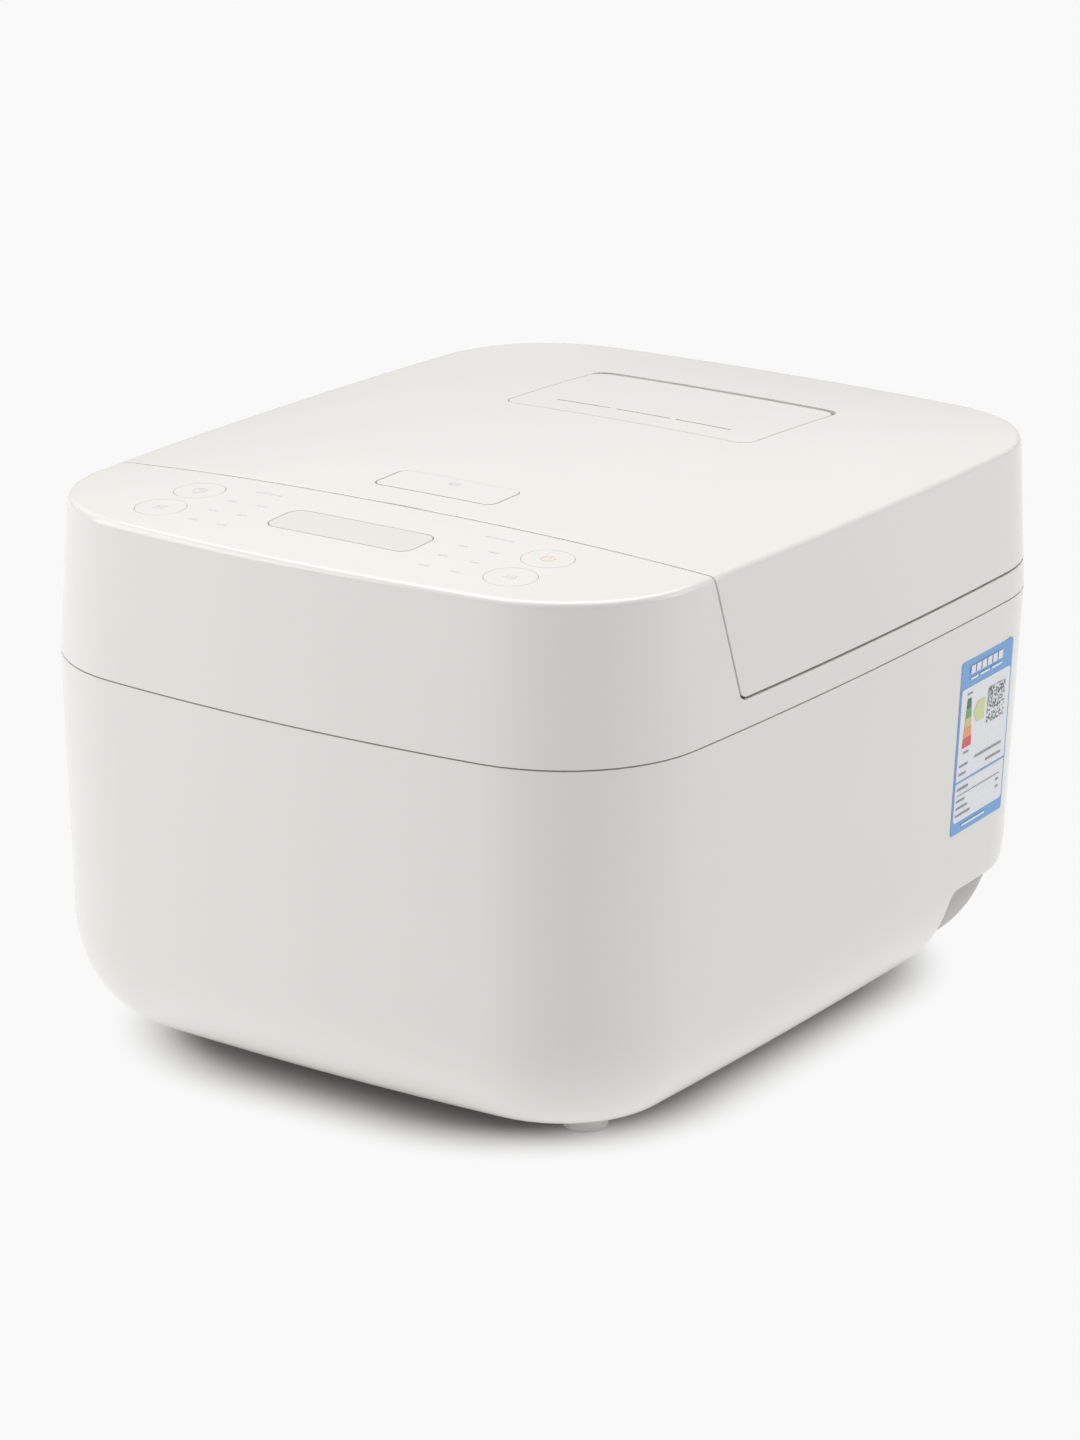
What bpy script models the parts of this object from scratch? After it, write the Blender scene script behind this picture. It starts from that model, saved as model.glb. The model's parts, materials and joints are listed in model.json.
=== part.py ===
"""Rice cooker: a free-standing three litre cooker with a hinged lid, built as separate pieces.

Metres, +Z up. The origin is the centre of the footprint on the table, the control panel faces -Y.
Run it in Blender 4.5. The pieces go in the collection "rice_cooker", the cutting tools in "cutters".
"""
import math

import bmesh
import bpy
from mathutils import Vector

# ---------------------------------------------------------------- overall form
BODY_WIDTH = 0.2550            # across the sides, at the seam under the control housing
BODY_DEPTH = 0.3226            # front to back, at the same seam
FOOT_HEIGHT = 0.0076           # from the table to the flat underside
BODY_HEIGHT = 0.1344           # from the flat underside to the seam
UPPER_HEIGHT = 0.0559          # from the seam to the top rim
UPPER_DRAFT = 0.0032           # how far the top rim stands in from the seam
LOWER_DRAFT = 0.0367           # inward lean of the lower walls, metres per metre
FRONT_RADIUS = 0.7095          # plan radius of the bulged front
REAR_RADIUS = 0.9830
SIDE_RADIUS = 2.2810
FRONT_CORNER = 0.0549          # plan radius of the vertical corners, at the seam
REAR_CORNER = 0.0546
RIM_ROUND = 0.0020             # rounding between the walls and the top
DOME_RISE = 0.0052             # crown of the top
DOME_SHAPE = 1.18
RIM_DROOP_SIDE = 0.0005
RIM_DROOP_END = 0.0007
BASE_ROUND_HEIGHT = 0.0428     # the big rounding round the bottom
BASE_ROUND_SIDE = 0.0264
BASE_ROUND_END = 0.0346
BASE_CORNER = 0.0308           # plan corner radius of the flat underside
BASE_FLATTEN = 0.52            # share by which the bulge of the ends fades out at the underside
WALL = 0.0025                  # moulded shell thickness
GAP = 0.0003                   # between pieces that rest on each other
SEAM_GAP = 0.0004
SPLIT_GAP = 0.0008             # shut line round the lid

# ---------------------------------------------------------------- lid outline and hinge
LID_FROM_FRONT = 0.0693        # the lid's front edge on the top, behind the body's front
LID_FRONT_LEAN = 0.3086        # how far the front edge leans back, metres per metre of drop
LID_EDGE_RISE = 0.0109         # the lid's lower edge above the seam
LID_CORNER_ROUND = 0.0040
HINGE_FROM_REAR = 0.0103
HINGE_RISE = 0.0086            # the hinge pin above the lid's lower edge
HINGE_PIN_RADIUS = 0.0020
HINGE_PIN_REACH = 0.0585
BARREL_REACH = 0.0440
BARREL_RADIUS = 0.0074
BARREL_CLEARANCE = 0.0009
KNUCKLE_RADIUS = 0.0044
KNUCKLE_WIDTH = 0.0100
HINGE_ARM_LENGTH = 0.0340
HINGE_ARM_THICKNESS = 0.0022
SPRING_WIRE = 0.0006
SPRING_COIL = 0.0036
SPRING_POCKET = (0.0100, 0.0380)   # from the middle, along the pin
SPRING_START = 0.0025          # from the pocket's end to the first turn
SPRING_LENGTH = 0.0220
SPRING_TURNS = 4.25
SPRING_LEG = 0.0060
BORE_CLEARANCE = 0.0003

# ---------------------------------------------------------------- control panel
KEY_RADIUS = 0.0090
KEY_X = 0.0713
KEY_ROWS_FROM_FRONT = (0.0278, 0.0494)
KEY_THICKNESS = 0.0024
KEY_TRAVEL = 0.0004
WINDOW_WIDTH = 0.0590
WINDOW_DEPTH = 0.0193
WINDOW_FROM_FRONT = 0.0383
WINDOW_CORNER = 0.0050
WINDOW_THICKNESS = 0.0022
BOARD_SIDE_ROOM = 0.0355       # from the board's end to the widest part of the body
BOARD_DEPTH = 0.0440
BOARD_THICKNESS = 0.0016
BOARD_BELOW_RIM = 0.0079
SWITCH_SIZE = 0.0060

# ---------------------------------------------------------------- lid release and latch
FLAP_HALF_WIDTH = 0.0250
FLAP_FROM_LID_EDGE = 0.0151
FLAP_LENGTH = 0.0199
FLAP_CORNER = 0.0040
FLAP_THICKNESS = 0.0024
FLAP_PIVOT_RISE = 0.0034
FLAP_SLIT = 0.0005
LATCH_PIVOT_AHEAD_OF_FLAP_REAR = 0.0055
LATCH_PIVOT_DROP = 0.0139      # below the top rim
LATCH_PIN_RADIUS = 0.0014
HOOK_WIDTH = 0.0180
HOOK_REACH_BELOW_LID = 0.0093
HOOK_LEG_AHEAD_OF_PIVOT = 0.0084
HOOK_ARM_AHEAD_OF_PIVOT = 0.0115
HOOK_ARM_DROP = 0.0050          # below the top rim
HOOK_LEG_THICKNESS = 0.0026
HOOK_NOSE = 0.0018
HOOK_NOSE_ROOT = 0.0034
HOOK_GUSSET_DROP = 0.0130      # where the leg's rear face meets the web up to the boss
HOOK_BOSS_DROP = 0.0045
HOOK_BOSS_RISE = 0.0040
HOOK_BOSS_REAR = 0.0032
HOOK_BOSS_CHAMFER = 0.0017
HOOK_ELBOW_DROP = 0.0010
HOOK_ARM_TIP = 0.0020
HOOK_ARM_THICKNESS = 0.0024
HOOK_NOSE_HEIGHT = 0.0018
HOOK_SWING_ROOM = 0.0046       # behind the leg
HOOK_FRONT_ROOM = 0.0009
CATCH_CLEARANCE = 0.0006        # the hook stands this far off its catch
CATCH_THICKNESS = 0.0022
EAR_THICKNESS = 0.0025
EAR_CLEARANCE = 0.0050          # between the hook and each ear, room for the spring
EAR_HALF = 0.0045
EAR_ABOVE_PIN = 0.0040
LATCH_SPRING_COIL = 0.0024
LATCH_SPRING_WIRE = 0.0004
LATCH_SPRING_LENGTH = 0.0028
LATCH_SPRING_GAP = 0.0011

# ---------------------------------------------------------------- steam vent
VENT_HALF_WIDTH = 0.0523
VENT_FROM_REAR = 0.0523         # the opening's rear edge, ahead of the body's rear
VENT_LENGTH = 0.0663
VENT_CORNER = 0.0060
VENT_GRIP_GAP = 0.0032         # finger slot behind the cap
VENT_CLEARANCE = 0.0004
CAP_THICKNESS = 0.0020
CAP_SKIRT = 0.0075
CUP_DEPTH = 0.0150
CUP_WALL = 0.0015
STEAM_SLIT_FROM_FRONT = 0.0134  # behind the opening's front edge
STEAM_SLIT_LENGTH = 0.0230
STEAM_SLIT_WIDTH = 0.0010
STEAM_SLIT_PITCH = 0.0255
STEAM_TUBE_FROM_FRONT = 0.0333
STEAM_TUBE_RADIUS = 0.0090
STEAM_TUBE_WALL = 0.0014

# ---------------------------------------------------------------- pot and heating
POT_SIDE_ROOM = 0.0325         # from the pot's wall to the widest part of the body
POT_HINGE_ROOM = 0.0140        # from the pot's flange to the hinge pin's axis
POT_WALL = 0.0020
POT_FLANGE = 0.0060            # how far the flange stands out from the wall
POT_FLANGE_THICKNESS = 0.0015
POT_DEPTH = 0.1173
POT_CORNER = 0.0220
DECK_BELOW_LID = 0.0034
DECK_THICKNESS = 0.0030
DECK_HOLE_CLEARANCE = 0.0035
SHIELD_CLEARANCE = 0.0047
SHIELD_WALL = 0.0008
SHIELD_FLANGE = 0.0055
SHIELD_FLOOR_RISE = 0.0144     # above the flat underside
PLATE_INSET = 0.0130           # from the pot's wall to the heating plate's edge
PLATE_THICKNESS = 0.0050
PLATE_BORE = 0.0145
ELEMENT_INSET = 0.0250         # from the plate's edge to the middle of the element
ELEMENT_HALF_WIDTH = 0.0070
BAND_HEIGHT = 0.0250
BAND_RISE = 0.0524
PLUNGER_RADIUS = 0.0130
PLUNGER_HEIGHT = 0.0100
PLUNGER_WALL = 0.0008
THERMO_COIL = 0.0080
THERMO_TURNS = 4
BRACKET_HALF = 0.0060
GASKET_WIDTH = 0.0048
GASKET_HEIGHT = 0.0036
GASKET_CHAMFER = 0.0010
INNER_PLATE_THICKNESS = 0.0010
INNER_PLATE_BEAD = (0.0060, 0.0120, 0.0012)   # the bead's crest and foot from the edge, and its depth
SENSOR_RADIUS = 0.0060
SENSOR_HEIGHT = 0.0040
SENSOR_FROM_POT_AXIS = (0.0450, -0.0260)
LINING_THICKNESS = 0.0022
LINING_AHEAD_OF_HINGE = 0.0110

# ---------------------------------------------------------------- base
BASE_CLEARANCE = 0.0010        # between the base tray and the inside of the shell
BASE_FIT = 0.0005
TRAY_WALL = 0.0020
TRAY_RISE = 0.0364             # the tray's rim above the flat underside
NOTCH_FROM_REAR = 0.0873       # the rear of the shell is cut away over the base tray
NOTCH_LEAN = 0.1500
NOTCH_RISE = 0.0304
NOTCH_CORNER = 0.0050
FOOT_RADIUS = 0.0080
FOOT_FRONT_INSET = (0.0429, 0.0597)   # from the side wall there, and from the body's front
FOOT_REAR_INSET = (0.0424, 0.0913)    # from the side wall there, and from the body's rear
FOOT_CHAMFER = 0.0010
BASE_SLOT_LENGTH = 0.0300
BASE_SLOT_WIDTH = 0.0030
BASE_SLOT_PITCH = 0.0090
BASE_SLOT_COUNT = 5
BASE_SLOT_Y = -0.0450
SCREW_FRONT_INSET = (0.0383, 0.0863)
SCREW_REAR_INSET = (0.0507, 0.0483)
SCREW_HEAD_RADIUS = 0.0030
SCREW_SHANK_RADIUS = 0.0015
SCREW_LENGTH = 0.0140
POST_RADIUS = 0.0045
POST_TOP_RISE = 0.0524

# ---------------------------------------------------------------- inlet and power supply
INLET_FROM_SIDE = 0.0825
INLET_RISE = 0.0564            # centre of the inlet above the flat underside
INLET_BEZEL = (0.0320, 0.0018, 0.0260)
INLET_BODY = (0.0280, 0.0200, 0.0210)
INLET_CAVITY = (0.0240, 0.0165, 0.0165)
INLET_PIN = (0.0020, 0.0100, 0.0040)
INLET_PIN_SPREAD = 0.0070
INLET_PIN_OFFSET = 0.0035
POWER_BOARD_SIZE = (0.1100, 0.0016, 0.0880)
POWER_BOARD_FROM_FRONT = 0.0573
POWER_BOARD_RISE = 0.0104
LEAD_RADIUS = 0.0013
TRANSFORMER_SIZE = (0.0340, 0.0280, 0.0280)
TRANSFORMER_AT = (-0.0290, 0.0200)     # its middle across, and its underside above the board's edge
RELAY_SIZE = (0.0200, 0.0160, 0.0160)
RELAY_AT = (0.0200, 0.0500)
CAPACITOR_RADIUS = 0.0075
CAPACITOR_LENGTH = 0.0220
CAPACITOR_AT = (0.0260, 0.0260)

# ---------------------------------------------------------------- label on the side
LABEL_FROM_REAR = 0.0487
LABEL_WIDTH = 0.0405
LABEL_TOP_DROP = 0.0148        # below the seam
LABEL_HEIGHT = 0.0657
LABEL_THICKNESS = 0.0003

# ---------------------------------------------------------------- mesh fineness
CORNER_STEPS = 5
SIDE_STEPS = 2
END_STEPS = 2
ROUND_SEGMENTS = 36
SMALL_SEGMENTS = 20

# ---------------------------------------------------------------- places worked out from the above
HALF_WIDTH = BODY_WIDTH / 2
HALF_DEPTH = BODY_DEPTH / 2
LID_FRONT_Y = LID_FROM_FRONT - HALF_DEPTH
HINGE_Y = HALF_DEPTH - HINGE_FROM_REAR
KEY_FRONT_Y = KEY_ROWS_FROM_FRONT[0] - HALF_DEPTH
KEY_REAR_Y = KEY_ROWS_FROM_FRONT[1] - HALF_DEPTH
WINDOW_Y = WINDOW_FROM_FRONT - HALF_DEPTH
BOARD_HALF_WIDTH = HALF_WIDTH - BOARD_SIDE_ROOM
FLAP_FRONT_Y = LID_FRONT_Y + FLAP_FROM_LID_EDGE
FLAP_REAR_Y = FLAP_FRONT_Y + FLAP_LENGTH
LATCH_PIVOT_Y = FLAP_REAR_Y - LATCH_PIVOT_AHEAD_OF_FLAP_REAR
HOOK_LEG_Y = LATCH_PIVOT_Y - HOOK_LEG_AHEAD_OF_PIVOT
HOOK_ARM_Y = LATCH_PIVOT_Y - HOOK_ARM_AHEAD_OF_PIVOT
HOOK_SLOT_REAR = HOOK_LEG_Y + HOOK_LEG_THICKNESS / 2 + HOOK_SWING_ROOM
VENT_REAR_Y = HALF_DEPTH - VENT_FROM_REAR
VENT_FRONT_Y = VENT_REAR_Y - VENT_LENGTH
STEAM_SLIT_Y = VENT_FRONT_Y + STEAM_SLIT_FROM_FRONT
STEAM_TUBE_Y = VENT_FRONT_Y + STEAM_TUBE_FROM_FRONT
POT_RADIUS = min(HALF_WIDTH - POT_SIDE_ROOM, (HINGE_Y - POT_HINGE_ROOM - HOOK_SLOT_REAR) / 2 - POT_FLANGE)
POT_FLANGE_RADIUS = POT_RADIUS + POT_FLANGE
POT_Y = (HINGE_Y - POT_HINGE_ROOM + HOOK_SLOT_REAR) / 2
PLATE_RADIUS = POT_RADIUS - PLATE_INSET
ELEMENT_RADIUS = PLATE_RADIUS - ELEMENT_INSET
LINING_REAR_Y = HINGE_Y - LINING_AHEAD_OF_HINGE
NOTCH_FRONT_Y = HALF_DEPTH - NOTCH_FROM_REAR
BASE_INSET = WALL + BASE_CLEARANCE
POWER_BOARD_Y = POWER_BOARD_FROM_FRONT - HALF_DEPTH
LABEL_REAR_Y = HALF_DEPTH - LABEL_FROM_REAR
LABEL_FRONT_Y = LABEL_REAR_Y - LABEL_WIDTH
UNDERSIDE_Z = FOOT_HEIGHT
SEAM_Z = UNDERSIDE_Z + BODY_HEIGHT
RIM_Z = SEAM_Z + UPPER_HEIGHT
LID_EDGE_Z = SEAM_Z + LID_EDGE_RISE
HOUSING_EDGE_Z = LID_EDGE_Z - SPLIT_GAP
HINGE_Z = LID_EDGE_Z + HINGE_RISE
DECK_Z = LID_EDGE_Z - DECK_BELOW_LID
POT_TOP_Z = DECK_Z + GAP + POT_FLANGE_THICKNESS
POT_BOTTOM_Z = POT_TOP_Z - POT_DEPTH
GASKET_Z = POT_TOP_Z + GAP
LINING_Z = GASKET_Z + GASKET_HEIGHT + GAP
BOARD_Z = RIM_Z - BOARD_BELOW_RIM
SHIELD_RADIUS = POT_RADIUS + SHIELD_CLEARANCE
SHIELD_FLOOR_Z = UNDERSIDE_Z + SHIELD_FLOOR_RISE
TRAY_FLOOR_Z = UNDERSIDE_Z + WALL
FLAP_PIVOT_Z = RIM_Z + FLAP_PIVOT_RISE
LATCH_PIVOT_Z = RIM_Z - LATCH_PIVOT_DROP
HOOK_ARM_Z = RIM_Z - HOOK_ARM_DROP
NOTCH_TOP_Z = UNDERSIDE_Z + NOTCH_RISE
INLET_X = INLET_FROM_SIDE - HALF_WIDTH
INLET_Z = UNDERSIDE_Z + INLET_RISE
SIDES = (("left", -1), ("right", 1))


def beside_wall(inset, end):
    """A place near a corner of the underside: in from the side wall, and in from the front or rear."""
    y = end * (HALF_DEPTH - inset[1])
    side_wall = HALF_WIDTH - SIDE_RADIUS + math.sqrt(SIDE_RADIUS ** 2 - y ** 2)
    return side_wall - inset[0], y


FOOT_FRONT = beside_wall(FOOT_FRONT_INSET, -1)
FOOT_REAR = beside_wall(FOOT_REAR_INSET, 1)
SCREW_FRONT = beside_wall(SCREW_FRONT_INSET, -1)
SCREW_REAR = beside_wall(SCREW_REAR_INSET, 1)

# ---------------------------------------------------------------- scene and small tools
for old in list(bpy.data.objects):
    bpy.data.objects.remove(old, do_unlink=True)


def new_collection(name):
    collection = bpy.data.collections.new(name)
    bpy.context.scene.collection.children.link(collection)
    return collection


PIECES = new_collection("rice_cooker")
CUTTERS = new_collection("cutters")


def new_material(name, colour, roughness, metallic=0.0):
    material = bpy.data.materials.new(name)
    material.use_nodes = True
    shader = material.node_tree.nodes["Principled BSDF"]
    shader.inputs["Base Color"].default_value = (*colour, 1.0)
    shader.inputs["Roughness"].default_value = roughness
    shader.inputs["Metallic"].default_value = metallic
    return material


WHITE_GLOSS = new_material("white_gloss_plastic", (0.80, 0.79, 0.76), 0.18)
WHITE_SATIN = new_material("white_satin_plastic", (0.84, 0.83, 0.81), 0.35)
GREY_PLASTIC = new_material("light_grey_plastic", (0.55, 0.54, 0.51), 0.45)
WINDOW_PLASTIC = new_material("window_plastic", (0.82, 0.82, 0.80), 0.12)
DARK_PLASTIC = new_material("black_plastic", (0.02, 0.02, 0.022), 0.40)
SILICONE = new_material("translucent_silicone", (0.62, 0.62, 0.60), 0.50)
RUBBER = new_material("grey_rubber", (0.30, 0.29, 0.28), 0.80)
ALUMINIUM = new_material("aluminium", (0.80, 0.80, 0.81), 0.30, 1.0)
STEEL = new_material("zinc_plated_steel", (0.60, 0.61, 0.62), 0.35, 1.0)
BRASS = new_material("nickel_plated_brass", (0.70, 0.66, 0.55), 0.30, 1.0)
NON_STICK = new_material("non_stick_coating", (0.045, 0.045, 0.048), 0.45)
CIRCUIT_BOARD = new_material("circuit_board", (0.03, 0.12, 0.05), 0.45)
FOIL_BLANKET = new_material("mica_band", (0.45, 0.38, 0.28), 0.60)
PAPER_LABEL = new_material("printed_label", (0.75, 0.82, 0.90), 0.40)
RED_LEAD = new_material("red_lead", (0.45, 0.04, 0.03), 0.50)
BLUE_LEAD = new_material("blue_lead", (0.04, 0.10, 0.40), 0.50)


def add_piece(name, mesh, material=None, cutter=False):
    """Put a mesh in the scene, as a piece of the cooker or as a cutting tool."""
    piece = bpy.data.objects.new(name, mesh)
    if cutter:
        CUTTERS.objects.link(piece)
        piece.hide_render = True
        piece.display_type = "WIRE"
    else:
        PIECES.objects.link(piece)
        mesh.materials.append(material)
        mesh.shade_smooth()
        mesh.set_sharp_from_angle(angle=math.radians(35))
    return piece


def mesh_from(bm, name):
    mesh = bpy.data.meshes.new(name)
    bm.to_mesh(mesh)
    bm.free()
    return mesh


def box(name, low, high, material=None, cutter=False):
    bm = bmesh.new()
    bmesh.ops.create_cube(bm, size=1.0)
    for vertex in bm.verts:
        for axis in range(3):
            vertex.co[axis] = low[axis] if vertex.co[axis] < 0 else high[axis]
    return add_piece(name, mesh_from(bm, name), material, cutter)


def cylinder(name, radius, base, height, material=None, cutter=False, axis="Z", segments=SMALL_SEGMENTS,
             top_radius=None):
    """A cylinder or cone from its base centre, along +Z, or along +X from its base."""
    bm = bmesh.new()
    bmesh.ops.create_cone(bm, cap_ends=True, segments=segments, radius1=radius,
                          radius2=radius if top_radius is None else top_radius, depth=height)
    bmesh.ops.translate(bm, verts=bm.verts, vec=(0, 0, height / 2))
    if axis == "X":
        for vertex in bm.verts:
            vertex.co = Vector((vertex.co.z, vertex.co.y, -vertex.co.x))
    bmesh.ops.translate(bm, verts=bm.verts, vec=base)
    return add_piece(name, mesh_from(bm, name), material, cutter)


def loft(name, rings, material=None, cutter=False, closed=False, peak=None):
    """Skin equal rings in order, the first one lowest on the outside. The ends are capped."""
    bm = bmesh.new()
    rows = [[bm.verts.new(point) for point in ring] for ring in rings]
    count = len(rings[0])
    pairs = list(zip(rows, rows[1:]))
    if closed:
        pairs.append((rows[-1], rows[0]))
    for lower, upper in pairs:
        for i in range(count):
            j = (i + 1) % count
            bm.faces.new((lower[i], lower[j], upper[j], upper[i]))
    if not closed:
        bm.faces.new(rows[0][::-1])
        if peak is None:
            bm.faces.new(rows[-1])
        else:
            tip = bm.verts.new(peak)
            for i in range(count):
                bm.faces.new((rows[-1][i], rows[-1][(i + 1) % count], tip))
    return add_piece(name, mesh_from(bm, name), material, cutter)


def turned(name, profile, centre, material, segments=ROUND_SEGMENTS, ring=False):
    """A round piece: (radius, height) points that run down the outer side, spun by a Screw modifier."""
    bm = bmesh.new()
    points = [bm.verts.new((radius, 0, height)) for radius, height in profile]
    for start, end in zip(points, points[1:]):
        bm.edges.new((start, end))
    if ring:
        bm.edges.new((points[-1], points[0]))
    piece = add_piece(name, mesh_from(bm, name), material)
    piece.location = centre
    screw = piece.modifiers.new("turn", "SCREW")
    screw.axis = "Z"
    screw.steps = segments
    screw.render_steps = segments
    screw.use_merge_vertices = True
    screw.merge_threshold = 0.00001
    return piece


def extruded(name, points, half_width, material=None, cutter=False, centre_x=0.0):
    """A flat outline of (y, z) points, anticlockwise seen from +X, carried across the width."""
    bm = bmesh.new()
    near = [bm.verts.new((centre_x - half_width, y, z)) for y, z in points]
    far = [bm.verts.new((centre_x + half_width, y, z)) for y, z in points]
    bm.faces.new(near[::-1])
    bm.faces.new(far)
    for i in range(len(points)):
        j = (i + 1) % len(points)
        bm.faces.new((near[i], near[j], far[j], far[i]))
    return add_piece(name, mesh_from(bm, name), material, cutter)


def boolean(piece, tool, operation="DIFFERENCE"):
    modifier = piece.modifiers.new(operation.lower(), "BOOLEAN")
    modifier.operation = operation
    modifier.solver = "EXACT"
    modifier.object = tool
    return piece


def arc(centre, radius, start, end, steps):
    """Points on an arc in a plane, angles in degrees."""
    points = []
    for i in range(steps + 1):
        angle = math.radians(start + (end - start) * i / steps)
        points.append((centre[0] + radius * math.cos(angle), centre[1] + radius * math.sin(angle)))
    return points


def axis_point(name, place, parent=None):
    """An empty on a joint's axis, which the moving pieces hang from."""
    empty = bpy.data.objects.new(name, None)
    PIECES.objects.link(empty)
    empty.location = place
    if parent:
        empty.parent = parent
        empty.location = Vector(place) - parent.location
    return empty


def hang(piece, joint, joint_place):
    """Give a piece its origin on the joint's axis, where it stands now, and parent it there."""
    shift = Vector(joint_place) - piece.location
    if piece.type == "MESH" and not any(m.type == "SCREW" for m in piece.modifiers):
        for vertex in piece.data.vertices:
            vertex.co -= shift
        piece.location = (0, 0, 0)
    else:
        piece.location = -shift
    piece.parent = joint


# ---------------------------------------------------------------- the plan outline
def outline(half_width, half_depth, front_radius, rear_radius, side_radius, front_corner, rear_corner):
    """Bulged rounded rectangle: four large arcs joined by tangent corner arcs, from the front centre."""
    side_centre = Vector((half_width - side_radius, 0))

    def corner(end_radius, corner_radius, end):
        """Centre of a corner arc, and where it meets the end arc and the side arc."""
        end_centre = Vector((0, end * (half_depth - end_radius)))
        to_side = side_radius - corner_radius
        to_end = end_radius - corner_radius
        between = end_centre - side_centre
        along = (between.length_squared + to_side ** 2 - to_end ** 2) / (2 * between.length)
        across = math.sqrt(max(to_side ** 2 - along ** 2, 0))
        unit = between.normalized()
        normal = Vector((-unit.y, unit.x))
        places = [side_centre + unit * along + normal * across, side_centre + unit * along - normal * across]
        centre = max(places, key=lambda place: place.x)
        on_side = centre + (centre - side_centre).normalized() * corner_radius
        on_end = centre + (centre - end_centre).normalized() * corner_radius
        return end_centre, centre, on_end, on_side

    def sweep(centre, start, end, steps):
        first = math.atan2(start.y - centre.y, start.x - centre.x)
        last = math.atan2(end.y - centre.y, end.x - centre.x)
        radius = (start - centre).length
        turns = [first + (last - first) * i / steps for i in range(steps)]
        return [(centre.x + radius * math.cos(t), centre.y + radius * math.sin(t)) for t in turns]

    front_centre, front_middle, front_meet, front_side = corner(front_radius, front_corner, -1)
    rear_centre, rear_middle, rear_meet, rear_side = corner(rear_radius, rear_corner, 1)
    right = sweep(front_centre, Vector((0, -half_depth)), front_meet, END_STEPS)
    right += sweep(front_middle, front_meet, front_side, CORNER_STEPS)
    right += sweep(side_centre, front_side, Vector((half_width, 0)), SIDE_STEPS)
    right += sweep(side_centre, Vector((half_width, 0)), rear_side, SIDE_STEPS)
    right += sweep(rear_middle, rear_side, rear_meet, CORNER_STEPS)
    right += sweep(rear_centre, rear_meet, Vector((0, half_depth)), END_STEPS)
    right.append((0, half_depth))
    left = [(-x, y) for x, y in right[1:-1]]
    return right + left[::-1]


def seam_outline(inset):
    """The plan outline moved in by the same amount all round."""
    return outline(HALF_WIDTH - inset, HALF_DEPTH - inset, FRONT_RADIUS - inset, REAR_RADIUS - inset,
                   SIDE_RADIUS - inset, FRONT_CORNER - inset, REAR_CORNER - inset)


def upper_inset(z):
    return UPPER_DRAFT * (z - SEAM_Z) / UPPER_HEIGHT


def top_height(x, y):
    """Height of the crowned top over a place in plan."""
    across = (x / (HALF_WIDTH - UPPER_DRAFT)) ** 2
    along = (y / (HALF_DEPTH - UPPER_DRAFT)) ** 2
    crown = max(1 - across ** DOME_SHAPE, 0) * max(1 - along ** DOME_SHAPE, 0)
    return RIM_Z - RIM_DROOP_SIDE * across - RIM_DROOP_END * along + DOME_RISE * crown


def upper_rings(inset, bottom_z):
    """Rings of the upper part from a level up over the rounded rim, and the middle of the top."""
    rings = []
    shoulder_z = RIM_Z - RIM_ROUND - RIM_DROOP_END
    for z in (bottom_z, shoulder_z - inset):
        rings.append([(x, y, z) for x, y in seam_outline(inset + upper_inset(z))])
    rim_round = max(RIM_ROUND - inset / 2, 0.0008)
    for angle in (35, 65, 90):
        reach = rim_round * (1 - math.cos(math.radians(angle)))
        drop = rim_round * (1 - math.sin(math.radians(angle))) + inset
        ring = seam_outline(inset + UPPER_DRAFT + reach)
        rings.append([(x, y, top_height(x, y) - drop) for x, y in ring])
    edge = seam_outline(inset + UPPER_DRAFT + rim_round)
    for scale in (0.82, 0.52, 0.22):
        rings.append([(x * scale, y * scale, top_height(x * scale, y * scale) - inset) for x, y in edge])
    return rings, (0, 0, top_height(0, 0) - inset)


def upper_solid(name, inset, bottom_z):
    rings, peak = upper_rings(inset, bottom_z)
    return loft(name, rings, cutter=True, peak=peak)


def lower_ring(inset, angle):
    """Ring in the rounding round the bottom: 0 degrees at its top, 90 on the flat underside."""
    turn = math.radians(angle)
    share = 1 - math.cos(turn)
    top_z = UNDERSIDE_Z + BASE_ROUND_HEIGHT
    z = top_z - (BASE_ROUND_HEIGHT - inset) * math.sin(turn)
    lean = LOWER_DRAFT * (SEAM_Z - top_z) + inset
    fade = 1 - BASE_FLATTEN * share
    ring = outline(HALF_WIDTH - lean - (BASE_ROUND_SIDE - inset) * share,
                   HALF_DEPTH - lean - (BASE_ROUND_END - inset) * share,
                   (FRONT_RADIUS - lean) / fade, (REAR_RADIUS - lean) / fade, (SIDE_RADIUS - lean) / fade,
                   (FRONT_CORNER - lean) * (1 - share) + BASE_CORNER * share,
                   (REAR_CORNER - lean) * (1 - share) + BASE_CORNER * share)
    return [(x, y, z) for x, y in ring]


def wall_ring(inset, z):
    """Ring in the drafted lower wall."""
    return [(x, y, z) for x, y in seam_outline(inset + LOWER_DRAFT * (SEAM_Z - z))]


def shrink(ring, amount, z):
    """The same ring at another height, drawn in towards the middle by about the given amount."""
    half_width = max(x for x, y, _ in ring)
    half_depth = max(y for x, y, _ in ring)
    across = (half_width - amount) / half_width
    along = (half_depth - amount) / half_depth
    return [(x * across, y * along, z) for x, y, _ in ring]


def side_surface(y, z):
    """How far out the right wall of the shell lies."""
    radius = SIDE_RADIUS - LOWER_DRAFT * (SEAM_Z - z)
    return HALF_WIDTH - SIDE_RADIUS + math.sqrt(radius ** 2 - y ** 2)


def rounded_rectangle(low_x, high_x, low_y, high_y, radius, z, steps=3):
    """Ring of points round a rectangle with rounded corners, anticlockwise."""
    corners = (((high_x - radius, low_y + radius), -90), ((high_x - radius, high_y - radius), 0),
               ((low_x + radius, high_y - radius), 90), ((low_x + radius, low_y + radius), 180))
    ring = []
    for centre, start in corners:
        ring += [(x, y, z) for x, y in arc(centre, radius, start, start + 90, steps)]
    return ring


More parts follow.
